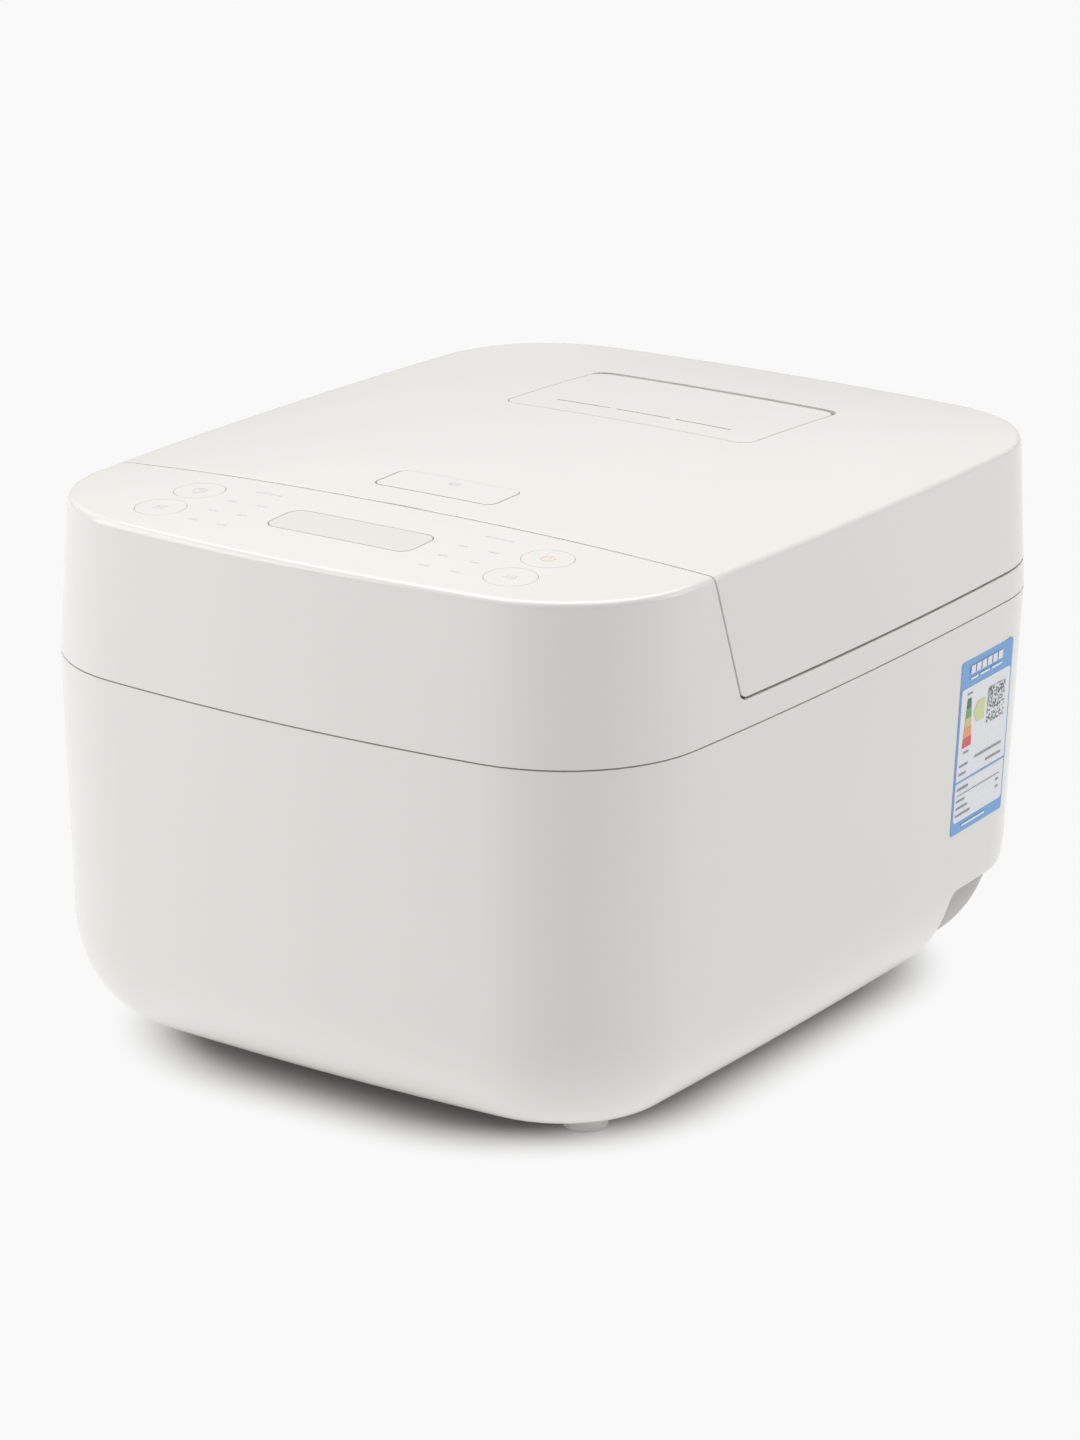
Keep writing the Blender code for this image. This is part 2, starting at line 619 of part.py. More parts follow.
def rounded_block(name, low_x, high_x, low_y, high_y, radius, low_z, high_z, material=None, cutter=False):
    rings = [rounded_rectangle(low_x, high_x, low_y, high_y, radius, z) for z in (low_z, high_z)]
    return loft(name, rings, material, cutter)


def coil(name, radius, wire, start, turns, length, material, axis="Z", leg=0.0):
    """A spring wound round an axis, with a straight leg at its last turn."""
    steps = 8
    points = []
    for i in range(int(turns * steps) + 1):
        angle = 2 * math.pi * i / steps
        rise = length * i / (turns * steps)
        place = Vector((radius * math.cos(angle), radius * math.sin(angle), rise))
        if axis == "X":
            place = Vector((place.z, place.x, place.y))
        points.append(Vector(start) + place)
    if leg:
        points.append(points[-1] + Vector((0, -0.3, 1)).normalized() * leg)
    curve = bpy.data.curves.new(name, "CURVE")
    curve.dimensions = "3D"
    curve.bevel_depth = wire
    curve.bevel_resolution = 1
    curve.use_fill_caps = True
    spline = curve.splines.new("POLY")
    spline.points.add(len(points) - 1)
    for point, place in zip(spline.points, points):
        point.co = (*place, 1)
    curve.materials.append(material)
    spring = bpy.data.objects.new(name, curve)
    PIECES.objects.link(spring)
    return spring


# ---------------------------------------------------------------- joint axes
HINGE_PLACE = (0, HINGE_Y, HINGE_Z)
lid_axis = axis_point("lid_axis", HINGE_PLACE)
FLAP_PLACE = (0, FLAP_REAR_Y, FLAP_PIVOT_Z)
flap_axis = axis_point("flap_axis", FLAP_PLACE, lid_axis)
LATCH_PLACE = (0, LATCH_PIVOT_Y, LATCH_PIVOT_Z)
latch_axis = axis_point("latch_axis", LATCH_PLACE, lid_axis)

# ---------------------------------------------------------------- shared cutting tools
outer_form = upper_solid("outer_form", 0, SEAM_Z + SEAM_GAP)
WIDE = HALF_WIDTH * 1.3
HIGH = RIM_Z * 1.2
FAR = HALF_DEPTH * 1.3


def lid_split(z, shift):
    """How far forward the shut line in front of the lid is at a height, moved back by a shift."""
    return LID_FRONT_Y + LID_FRONT_LEAN * (RIM_Z - z) + shift


def lid_region(name, shift, edge_z, round_rear):
    """Side view of all that belongs to the lid, carried across the width."""
    radius = LID_CORNER_ROUND
    lean = math.atan(LID_FRONT_LEAN)
    reach = radius * math.tan((math.pi / 2 - lean) / 2)
    corner = (lid_split(edge_z, shift) + reach, edge_z + radius)
    points = arc(corner, radius, 180 + math.degrees(lean), 270, 4)
    if round_rear:
        points += arc((HINGE_Y, HINGE_Z), HINGE_Z - edge_z, 270, 360, 8)
        points.append((HINGE_Y + HINGE_Z - edge_z, HIGH))
    else:
        points += [(FAR, edge_z), (FAR, HIGH)]
    points.append((lid_split(HIGH, shift), HIGH))
    return extruded(name, points, WIDE, cutter=True)


# ---------------------------------------------------------------- outer body
def base_post(number, place, side):
    """A screw post inside the shell, held off the wall by a web above the base tray."""
    x, y = place[0] * side, place[1]
    top = UNDERSIDE_Z + POST_TOP_RISE
    post = cylinder(f"post_{number}", POST_RADIUS, (x, y, TRAY_FLOOR_Z + GAP), top - TRAY_FLOOR_Z - GAP,
                    cutter=True, segments=12)
    web_low = UNDERSIDE_Z + TRAY_RISE + 2 * GAP
    web_half = WALL / 2
    if y < 0:
        reach = side * (side_surface(y, web_low) - WALL / 2)
        low, high = sorted((x, reach))
        web = box(f"web_{number}", (low, y - web_half, web_low), (high, y + web_half, top), cutter=True)
    else:
        reach = HALF_DEPTH - LOWER_DRAFT * (SEAM_Z - web_low) - x * x / (2 * REAR_RADIUS) - WALL / 2
        web = box(f"web_{number}", (x - web_half, y, web_low), (x + web_half, reach, top), cutter=True)
    hole = cylinder(f"post_hole_{number}", SCREW_SHANK_RADIUS + BORE_CLEARANCE, (x, y, 0),
                    UNDERSIDE_Z + SCREW_LENGTH + 2 * WALL, cutter=True, segments=12)
    return post, web, hole


LOWER_ANGLES = (90, 75, 58, 40, 22, 0)
INLET_LEAN = math.asin(-INLET_X / REAR_RADIUS)
inlet_y = (HALF_DEPTH - REAR_RADIUS
           + math.sqrt((REAR_RADIUS - LOWER_DRAFT * (SEAM_Z - INLET_Z)) ** 2 - INLET_X ** 2))
INLET_PLACE = (INLET_X, inlet_y, INLET_Z)
inlet_frame = axis_point("inlet_frame", INLET_PLACE)
inlet_frame.rotation_euler = (-math.atan(LOWER_DRAFT), 0, INLET_LEAN)


def make_outer_body():
    outside = [lower_ring(0, angle) for angle in LOWER_ANGLES] + [wall_ring(0, SEAM_Z)]
    inside = [wall_ring(WALL, SEAM_Z)] + [lower_ring(WALL, angle) for angle in LOWER_ANGLES[::-1]]
    shell = loft("outer_body", outside + inside, WHITE_GLOSS, closed=True)
    lean_y = NOTCH_FRONT_Y + NOTCH_LEAN * NOTCH_RISE
    notch = arc((lean_y + NOTCH_CORNER, NOTCH_TOP_Z - NOTCH_CORNER), NOTCH_CORNER, 90, 180, 4)
    notch = notch + [(NOTCH_FRONT_Y, UNDERSIDE_Z), (NOTCH_FRONT_Y, -HIGH), (FAR, -HIGH), (FAR, NOTCH_TOP_Z)]
    boolean(shell, extruded("rear_notch", notch, WIDE, cutter=True))
    number = 0
    holes = []
    for place in (SCREW_FRONT, SCREW_REAR):
        for _, side in SIDES:
            number += 1
            post, web, hole = base_post(number, place, side)
            boolean(post, web, "UNION")
            boolean(shell, post, "UNION")
            holes.append(hole)
    for hole in holes:
        boolean(shell, hole)
    half = [size / 2 + BORE_CLEARANCE for size in INLET_BODY]
    opening = box("inlet_opening", (-half[0], -HALF_WIDTH / 8, -half[2]), (half[0], HALF_WIDTH / 8, half[2]),
                  cutter=True)
    opening.parent = inlet_frame
    boolean(shell, opening)
    return shell


make_outer_body()


# ---------------------------------------------------------------- base tray, feet and screws
def make_base_cover():
    lip = lower_ring(0, 90)
    shoulder_z = UNDERSIDE_Z + BASE_INSET
    angles = (74, 56, 38, 20)
    rim_z = UNDERSIDE_Z + TRAY_RISE
    rise = (UNDERSIDE_Z + BASE_ROUND_HEIGHT - rim_z) / (BASE_ROUND_HEIGHT - BASE_INSET)
    rim_angle = math.degrees(math.asin(rise))
    rings = [shrink(lip, BASE_FIT, UNDERSIDE_Z), shrink(lip, BASE_FIT, shoulder_z)]
    rings += [lower_ring(BASE_INSET, angle) for angle in (*angles, rim_angle)]
    inner = BASE_INSET + TRAY_WALL
    rim_inside = [(x, y, rim_z) for x, y, _ in lower_ring(inner, rim_angle)]
    rings += [rim_inside] + [lower_ring(inner, angle) for angle in angles[::-1]]
    rings += [shrink(lip, BASE_FIT + TRAY_WALL, shoulder_z + TRAY_WALL),
              shrink(lip, BASE_FIT + TRAY_WALL, TRAY_FLOOR_Z)]
    tray = loft("base_cover", rings, GREY_PLASTIC)
    for i in range(BASE_SLOT_COUNT):
        for _, side in SIDES:
            y = BASE_SLOT_Y + i * BASE_SLOT_PITCH
            x = side * BASE_SLOT_LENGTH
            slot = box(f"base_slot_{i}_{side}", (x - BASE_SLOT_LENGTH / 2, y, 0),
                       (x + BASE_SLOT_LENGTH / 2, y + BASE_SLOT_WIDTH, TRAY_FLOOR_Z + WALL), cutter=True)
            boolean(tray, slot)
    for _, side in SIDES:
        x = side * (POWER_BOARD_SIZE[0] / 2 - 2 * WALL)
        guide = box(f"board_guide_{side}", (x - WALL, POWER_BOARD_Y - 2 * WALL, TRAY_FLOOR_Z - WALL / 2),
                    (x + WALL, POWER_BOARD_Y + 2 * WALL, UNDERSIDE_Z + POWER_BOARD_RISE + 2 * WALL),
                    cutter=True)
        groove = box(f"board_groove_{side}",
                     (x - 2 * WALL, POWER_BOARD_Y - POWER_BOARD_SIZE[1] / 2 - GAP,
                      UNDERSIDE_Z + POWER_BOARD_RISE - GAP),
                     (x + 2 * WALL, POWER_BOARD_Y + POWER_BOARD_SIZE[1] / 2 + GAP, HIGH), cutter=True)
        boolean(guide, groove)
        boolean(tray, guide, "UNION")
    return tray


base_cover = make_base_cover()

for end_name, place in (("front", FOOT_FRONT), ("rear", FOOT_REAR)):
    for side_name, side in SIDES:
        top = FOOT_HEIGHT - GAP
        turned(f"foot_{end_name}_{side_name}",
               [(0, top), (FOOT_RADIUS, top), (FOOT_RADIUS, FOOT_CHAMFER),
                (FOOT_RADIUS - FOOT_CHAMFER, 0), (0, 0)],
               (side * place[0], place[1], 0), WHITE_SATIN, segments=24)

for end_name, place in (("front", SCREW_FRONT), ("rear", SCREW_REAR)):
    for side_name, side in SIDES:
        x, y = place[0] * side, place[1]
        sink = cylinder(f"sink_{end_name}_{side_name}", SCREW_HEAD_RADIUS + BORE_CLEARANCE, (x, y, 0),
                        UNDERSIDE_Z + WALL / 2, cutter=True, segments=16)
        through = cylinder(f"through_{end_name}_{side_name}", SCREW_SHANK_RADIUS + BORE_CLEARANCE, (x, y, 0),
                           TRAY_FLOOR_Z + WALL, cutter=True, segments=12)
        boolean(base_cover, sink)
        boolean(base_cover, through)
        head_top = UNDERSIDE_Z + WALL / 2 - GAP
        head_bottom = UNDERSIDE_Z + GAP
        tip = UNDERSIDE_Z + SCREW_LENGTH
        turned(f"base_screw_{end_name}_{side_name}",
               [(0, tip), (SCREW_SHANK_RADIUS, tip - SCREW_SHANK_RADIUS), (SCREW_SHANK_RADIUS, head_top),
                (SCREW_HEAD_RADIUS, head_top), (SCREW_HEAD_RADIUS, head_bottom), (0, head_bottom)],
               (x, y, 0), STEEL, segments=12)


# ---------------------------------------------------------------- control housing
def window_block(name, clearance, low_z, high_z, material=None, cutter=True):
    return rounded_block(name, -WINDOW_WIDTH / 2 + clearance, WINDOW_WIDTH / 2 - clearance,
                         WINDOW_Y - WINDOW_DEPTH / 2 + clearance, WINDOW_Y + WINDOW_DEPTH / 2 - clearance,
                         WINDOW_CORNER - clearance, low_z, high_z, material, cutter)


KEYS = (("key_timer", -KEY_X, KEY_REAR_Y), ("key_menu", -KEY_X, KEY_FRONT_Y),
        ("key_start", KEY_X, KEY_REAR_Y), ("key_warm", KEY_X, KEY_FRONT_Y))


def make_control_housing():
    rings, peak = upper_rings(0, SEAM_Z + SEAM_GAP)
    housing = loft("control_housing", rings, WHITE_GLOSS, peak=peak)
    boolean(housing, lid_region("lid_space", 0, HOUSING_EDGE_Z, False))
    cavity = upper_solid("housing_cavity", WALL, SEAM_Z - WALL)
    slab_points = [(lid_split(SEAM_Z - 2 * WALL, 0), SEAM_Z - 2 * WALL), (lid_split(HIGH, 0), HIGH),
                   (lid_split(HIGH, -WALL), HIGH), (lid_split(SEAM_Z - 2 * WALL, -WALL), SEAM_Z - 2 * WALL)]
    boolean(cavity, extruded("housing_rear_wall", slab_points, WIDE, cutter=True))
    boolean(housing, cavity)
    catch_y = HOOK_LEG_Y - HOOK_LEG_THICKNESS / 2 - HOOK_NOSE - CATCH_CLEARANCE
    catch_z = LID_EDGE_Z - HOOK_REACH_BELOW_LID + HOOK_NOSE_HEIGHT + CATCH_CLEARANCE
    catch = box("latch_catch", (-HOOK_WIDTH / 2, lid_split(catch_z, -WALL / 2), catch_z),
                (HOOK_WIDTH / 2, catch_y, catch_z + CATCH_THICKNESS), cutter=True)
    boolean(housing, catch, "UNION")
    for name, x, y in KEYS:
        hole = cylinder(f"{name}_hole", KEY_RADIUS, (x, y, RIM_Z - 3 * WALL), 6 * WALL, cutter=True,
                        segments=28)
        boolean(housing, hole)
    boolean(housing, window_block("window_hole", 0, RIM_Z - 3 * WALL, HIGH))
    return housing


make_control_housing()

for name, x, y in KEYS:
    low_z = top_height(x, y) - KEY_THICKNESS
    cap = cylinder(name, KEY_RADIUS - GAP, (0, 0, 0), 4 * KEY_THICKNESS, WHITE_GLOSS, segments=28)
    cap.location = (x, y, low_z)
    boolean(cap, outer_form, "INTERSECT")
    half = SWITCH_SIZE / 2
    box(f"tact_switch_{name[4:]}", (x - half, y - half, BOARD_Z + GAP),
        (x + half, y + half, low_z - KEY_TRAVEL - GAP), DARK_PLASTIC)

window_low_z = top_height(0, WINDOW_Y) - WINDOW_THICKNESS
window = window_block("display_window", GAP, window_low_z, HIGH, WINDOW_PLASTIC, False)
boolean(window, outer_form, "INTERSECT")
box("display_module", (-WINDOW_WIDTH / 2 + WINDOW_CORNER, WINDOW_Y - WINDOW_DEPTH / 2 + WALL, BOARD_Z + GAP),
    (WINDOW_WIDTH / 2 - WINDOW_CORNER, WINDOW_Y + WINDOW_DEPTH / 2 - WALL, window_low_z - GAP), DARK_PLASTIC)
box("control_board", (-BOARD_HALF_WIDTH, WINDOW_Y - BOARD_DEPTH / 2, BOARD_Z - BOARD_THICKNESS),
    (BOARD_HALF_WIDTH, WINDOW_Y + BOARD_DEPTH / 2, BOARD_Z), CIRCUIT_BOARD)


# ---------------------------------------------------------------- deck round the pot
def hook_slot(name, high_z):
    """Space that the latch hook swings in, for whatever stands round it."""
    half = HOOK_WIDTH / 2 + 2 * GAP
    return box(name, (-half, -FAR, 0), (half, HOOK_SLOT_REAR, high_z), cutter=True)


def make_deck_plate():
    inset = WALL + SEAM_GAP
    rings = [[(x, y, z) for x, y in seam_outline(inset + upper_inset(z))]
             for z in (DECK_Z - DECK_THICKNESS, DECK_Z)]
    deck = loft("deck_plate", rings, WHITE_SATIN)
    front = lid_split(DECK_Z - DECK_THICKNESS, SEAM_GAP)
    boolean(deck, box("deck_front", (-WIDE, -FAR, 0), (WIDE, front, HIGH), cutter=True))
    hole = cylinder("deck_hole", POT_RADIUS + DECK_HOLE_CLEARANCE, (0, POT_Y, 0), HIGH, cutter=True,
                    segments=ROUND_SEGMENTS)
    boolean(deck, hole)
    boolean(deck, hook_slot("hook_slot_in_deck", HIGH))
    return deck


make_deck_plate()


# ---------------------------------------------------------------- hinge
def make_hinge_barrel():
    """Moulded barrel on the deck, which carries the pin and hides the two lid springs."""
    barrel = cylinder("hinge_barrel", BARREL_RADIUS, (-BARREL_REACH, HINGE_Y, HINGE_Z), 2 * BARREL_REACH,
                      WHITE_SATIN, axis="X", segments=24)
    neck = box("barrel_neck", (-BARREL_REACH, HINGE_Y - BARREL_RADIUS + BARREL_CLEARANCE, DECK_Z + GAP),
               (BARREL_REACH, HINGE_Y - BARREL_CLEARANCE, HINGE_Z), cutter=True)
    boolean(barrel, neck, "UNION")
    boolean(barrel, cylinder("barrel_bore", HINGE_PIN_RADIUS + BORE_CLEARANCE,
                             (-HINGE_PIN_REACH, HINGE_Y, HINGE_Z), 2 * HINGE_PIN_REACH, cutter=True, axis="X",
                             segments=16))
    for side_name, side in SIDES:
        low, high = sorted((side * SPRING_POCKET[0], side * SPRING_POCKET[1]))
        boolean(barrel, box(f"spring_pocket_{side_name}",
                            (low, HINGE_Y - 2 * BARREL_RADIUS, HINGE_Z - SPRING_COIL - 3 * SPRING_WIRE),
                            (high, HINGE_Y + SPRING_COIL + 2 * SPRING_WIRE, HINGE_Z + 2 * BARREL_RADIUS),
                            cutter=True))
    return barrel


make_hinge_barrel()
cylinder("hinge_pin", HINGE_PIN_RADIUS, (-HINGE_PIN_REACH, HINGE_Y, HINGE_Z), 2 * HINGE_PIN_REACH, STEEL,
         axis="X", segments=16)
for side_name, side in SIDES:
    start_x = side * SPRING_POCKET[0] if side > 0 else side * SPRING_POCKET[1]
    coil(f"hinge_spring_{side_name}", SPRING_COIL, SPRING_WIRE, (start_x + SPRING_START, HINGE_Y, HINGE_Z),
         SPRING_TURNS, SPRING_LENGTH, STEEL, axis="X", leg=SPRING_LEG)


# ---------------------------------------------------------------- pot, heat shield and heating
def pot_profile(radius, bottom_z, corner):
    """Half section of a pot wall from the middle of the bottom up to the corner's end."""
    return [(0, bottom_z)] + arc((radius - corner, bottom_z + corner), corner, 270, 360, 4)


inside = pot_profile(POT_RADIUS - POT_WALL, POT_BOTTOM_Z + POT_WALL, POT_CORNER - POT_WALL)
outside = pot_profile(POT_RADIUS, POT_BOTTOM_Z, POT_CORNER)
flange_low = POT_TOP_Z - POT_FLANGE_THICKNESS
flange = [(POT_RADIUS - POT_WALL, POT_TOP_Z), (POT_FLANGE_RADIUS, POT_TOP_Z), (POT_FLANGE_RADIUS, flange_low),
          (POT_RADIUS, flange_low)]
turned("inner_pot", inside + flange + outside[::-1], (0, POT_Y, 0), NON_STICK)

shield_top = DECK_Z - DECK_THICKNESS - GAP
shield_hole = PLUNGER_RADIUS + 3 * WALL
heat_shield = turned("heat_shield",
                     [(SHIELD_RADIUS - SHIELD_WALL, shield_top), (SHIELD_RADIUS + SHIELD_FLANGE, shield_top),
                      (SHIELD_RADIUS + SHIELD_FLANGE, shield_top - SHIELD_WALL),
                      (SHIELD_RADIUS, shield_top - SHIELD_WALL), (SHIELD_RADIUS, SHIELD_FLOOR_Z),
                      (shield_hole, SHIELD_FLOOR_Z), (shield_hole, SHIELD_FLOOR_Z + SHIELD_WALL),
                      (SHIELD_RADIUS - SHIELD_WALL, SHIELD_FLOOR_Z + SHIELD_WALL)],
                     (0, POT_Y, 0), STEEL, ring=True)
boolean(heat_shield, hook_slot("hook_slot_in_shield", HIGH))

plate_top = POT_BOTTOM_Z - GAP
plate_low = plate_top - PLATE_THICKNESS
element_low = SHIELD_FLOOR_Z + SHIELD_WALL + GAP
turned("heating_plate",
       [(PLATE_BORE, plate_top), (PLATE_RADIUS - WALL, plate_top), (PLATE_RADIUS, plate_top - WALL),
        (PLATE_RADIUS, plate_low), (ELEMENT_RADIUS + ELEMENT_HALF_WIDTH, plate_low),
        (ELEMENT_RADIUS + ELEMENT_HALF_WIDTH * 0.6, element_low),
        (ELEMENT_RADIUS - ELEMENT_HALF_WIDTH * 0.6, element_low),
        (ELEMENT_RADIUS - ELEMENT_HALF_WIDTH, plate_low), (PLATE_BORE, plate_low)],
       (0, POT_Y, 0), ALUMINIUM, ring=True)

band_z = UNDERSIDE_Z + BAND_RISE
band_inner = SHIELD_RADIUS + GAP
turned("band_heater",
       [(band_inner, band_z + BAND_HEIGHT), (band_inner + SHIELD_WALL, band_z + BAND_HEIGHT),
        (band_inner + SHIELD_WALL, band_z), (band_inner, band_z)], (0, POT_Y, 0), FOIL_BLANKET, ring=True)

# ---------------------------------------------------------------- thermostat in the middle of the plate
plunger_top = POT_BOTTOM_Z - GAP
plunger_low = plunger_top - PLUNGER_HEIGHT
plunger_inner = PLUNGER_RADIUS - PLUNGER_WALL
turned("thermostat_plunger",
       [(0, PLUNGER_HEIGHT), (PLUNGER_RADIUS, PLUNGER_HEIGHT), (PLUNGER_RADIUS, 0), (plunger_inner, 0),
        (plunger_inner, PLUNGER_HEIGHT - PLUNGER_WALL), (0, PLUNGER_HEIGHT - PLUNGER_WALL)],
       (0, POT_Y, plunger_low), ALUMINIUM, segments=28)
bracket_z = TRAY_FLOOR_Z + 2 * WALL / 3
bracket_top = SHIELD_FLOOR_Z - GAP
bracket_reach = shield_hole + 2 * WALL
bracket = box("thermostat_bracket", (-bracket_reach, POT_Y - BRACKET_HALF, bracket_z),
              (bracket_reach, POT_Y + BRACKET_HALF, bracket_z + SHIELD_WALL), STEEL)
for _, side in SIDES:
    low, high = sorted((side * bracket_reach, side * (bracket_reach - SHIELD_WALL)))
    boolean(bracket, box(f"bracket_leg_{side}", (low, POT_Y - BRACKET_HALF, bracket_z),
                         (high, POT_Y + BRACKET_HALF, bracket_top), cutter=True), "UNION")
spring_base = bracket_z + SHIELD_WALL + SPRING_WIRE + GAP
spring_length = plunger_top - PLUNGER_WALL - SPRING_WIRE - GAP - spring_base
coil("thermostat_spring", THERMO_COIL, SPRING_WIRE, (0, POT_Y, spring_base), THERMO_TURNS, spring_length,
     STEEL)


# ---------------------------------------------------------------- lid cover
def make_lid_cover():
    rings, peak = upper_rings(0, SEAM_Z + SEAM_GAP)
    cover = loft("lid_cover", rings, WHITE_GLOSS, peak=peak)
    boolean(cover, lid_region("lid_block", SPLIT_GAP, LID_EDGE_Z, True), "INTERSECT")
    cavity = upper_solid("lid_cavity", WALL, SEAM_Z - WALL)
    front_inside = SPLIT_GAP + WALL
    front = [(lid_split(0, front_inside), 0), (FAR, 0), (FAR, HIGH), (lid_split(HIGH, front_inside), HIGH)]
    boolean(cavity, extruded("lid_cavity_front", front, WIDE, cutter=True), "INTERSECT")
    boolean(cover, cavity)
    vent = rounded_block("vent_opening", -VENT_HALF_WIDTH, VENT_HALF_WIDTH, VENT_FRONT_Y, VENT_REAR_Y,
                         VENT_CORNER, RIM_Z - 4 * WALL, HIGH, cutter=True)
    boolean(cover, vent)
    flap_hole = rounded_block("flap_opening", -FLAP_HALF_WIDTH, FLAP_HALF_WIDTH, FLAP_FRONT_Y, FLAP_REAR_Y,
                              FLAP_CORNER, RIM_Z - 4 * WALL, HIGH, cutter=True)
    boolean(cover, flap_hole)
    reach = BARREL_REACH + 2 * BARREL_CLEARANCE
    boolean(cover, cylinder("hinge_notch", BARREL_RADIUS + BARREL_CLEARANCE, (-reach, HINGE_Y, HINGE_Z),
                            2 * reach, cutter=True, axis="X", segments=24))
    boolean(cover, box("hinge_notch_below", (-reach, HINGE_Y - BARREL_RADIUS - BARREL_CLEARANCE, 0),
                       (reach, FAR, HINGE_Z), cutter=True))
    hang(cover, lid_axis, HINGE_PLACE)
    return cover


make_lid_cover()


# ---------------------------------------------------------------- lid lining, inner plate and gasket
def make_lid_lining():
    inset = WALL + SEAM_GAP
    top_z = LINING_Z + LINING_THICKNESS
    rings = [[(x, y, z) for x, y in seam_outline(inset + upper_inset(z))] for z in (LINING_Z, top_z)]
    lining = loft("lid_lining", rings, WHITE_SATIN)
    front = [(-FAR, 0), (lid_split(0, SPLIT_GAP + WALL + SEAM_GAP), 0),
             (lid_split(HIGH, SPLIT_GAP + WALL + SEAM_GAP), HIGH), (-FAR, HIGH)]
    boolean(lining, extruded("lining_front", front, WIDE, cutter=True))
    boolean(lining, box("lining_rear", (-WIDE, LINING_REAR_Y, 0), (WIDE, FAR, HIGH), cutter=True))
    for side_name, side in SIDES:
        inner = HOOK_WIDTH / 2 + EAR_CLEARANCE
        low, high = sorted((side * inner, side * (inner + EAR_THICKNESS)))
        ear = box(f"latch_ear_{side_name}", (low, LATCH_PIVOT_Y - EAR_HALF, LINING_Z + LINING_THICKNESS / 2),
                  (high, LATCH_PIVOT_Y + EAR_HALF, LATCH_PIVOT_Z + EAR_ABOVE_PIN), cutter=True)
        boolean(lining, ear, "UNION")
    boolean(lining, cylinder("latch_pin_hole", LATCH_PIN_RADIUS + BORE_CLEARANCE,
                             (-HOOK_WIDTH, LATCH_PIVOT_Y, LATCH_PIVOT_Z), 2 * HOOK_WIDTH, cutter=True,
                             axis="X", segments=12))
    slot_half = HOOK_WIDTH / 2 + 2 * GAP
    slot_front = HOOK_LEG_Y - HOOK_LEG_THICKNESS / 2 - HOOK_FRONT_ROOM
    boolean(lining, box("hook_slot_in_lining", (-slot_half, slot_front, 0),
                        (slot_half, HOOK_SLOT_REAR, LINING_Z + 2 * LINING_THICKNESS), cutter=True))
    boolean(lining, cylinder("steam_hole", STEAM_TUBE_RADIUS + GAP, (0, STEAM_TUBE_Y, 0), HIGH, cutter=True))
    hang(lining, lid_axis, HINGE_PLACE)
    return lining


make_lid_lining()

gasket_inner = POT_FLANGE_RADIUS - GASKET_WIDTH
gasket_shoulder = POT_FLANGE_RADIUS - GASKET_CHAMFER
gasket_top = GASKET_Z + GASKET_HEIGHT
gasket = turned("lid_gasket",
                [(gasket_inner, gasket_top), (gasket_shoulder, gasket_top),
                 (POT_FLANGE_RADIUS, GASKET_Z + GASKET_HEIGHT / 2), (gasket_shoulder, GASKET_Z),
                 (gasket_inner + GASKET_CHAMFER, GASKET_Z), (gasket_inner, GASKET_Z + GASKET_CHAMFER)],
                (0, POT_Y, 0), SILICONE, ring=True)
hang(gasket, lid_axis, HINGE_PLACE)

plate_edge = gasket_inner - GAP
inner_z = GASKET_Z + GASKET_HEIGHT / 2
bead_crest, bead_foot, bead_depth = INNER_PLATE_BEAD
inner_lid_plate = turned("inner_lid_plate",
                         [(0, inner_z + INNER_PLATE_THICKNESS), (plate_edge, inner_z + INNER_PLATE_THICKNESS),
                          (plate_edge, inner_z), (plate_edge - bead_crest, inner_z - bead_depth),
                          (plate_edge - bead_foot, inner_z), (0, inner_z)], (0, POT_Y, 0), ALUMINIUM)
boolean(inner_lid_plate, cylinder("steam_hole_in_plate", STEAM_TUBE_RADIUS - 3 * STEAM_TUBE_WALL,
                                  (0, STEAM_TUBE_Y, 0), HIGH, cutter=True))
hang(inner_lid_plate, lid_axis, HINGE_PLACE)

lid_sensor = cylinder("lid_sensor", SENSOR_RADIUS,
                      (SENSOR_FROM_POT_AXIS[0], POT_Y + SENSOR_FROM_POT_AXIS[1],
                       LINING_Z + LINING_THICKNESS + GAP), SENSOR_HEIGHT, BRASS)
hang(lid_sensor, lid_axis, HINGE_PLACE)

for side_name, side in SIDES:
    inner = BARREL_REACH + 2 * BARREL_CLEARANCE + GAP
    low, high = sorted((side * inner, side * (inner + KNUCKLE_WIDTH)))
    arm = cylinder(f"hinge_arm_{side_name}", KNUCKLE_RADIUS, (low, HINGE_Y, HINGE_Z), high - low, STEEL,
                   axis="X")
    arm_z = LINING_Z + LINING_THICKNESS + GAP
    boolean(arm, box(f"arm_strip_{side_name}", (low, HINGE_Y - HINGE_ARM_LENGTH, arm_z),
                     (high, HINGE_Y - KNUCKLE_RADIUS / 2, arm_z + HINGE_ARM_THICKNESS), cutter=True), "UNION")
    boolean(arm, cylinder(f"arm_bore_{side_name}", HINGE_PIN_RADIUS + BORE_CLEARANCE,
                          (low - WALL, HINGE_Y, HINGE_Z), KNUCKLE_WIDTH + 2 * WALL, cutter=True, axis="X",
                          segments=16))
    hang(arm, lid_axis, HINGE_PLACE)


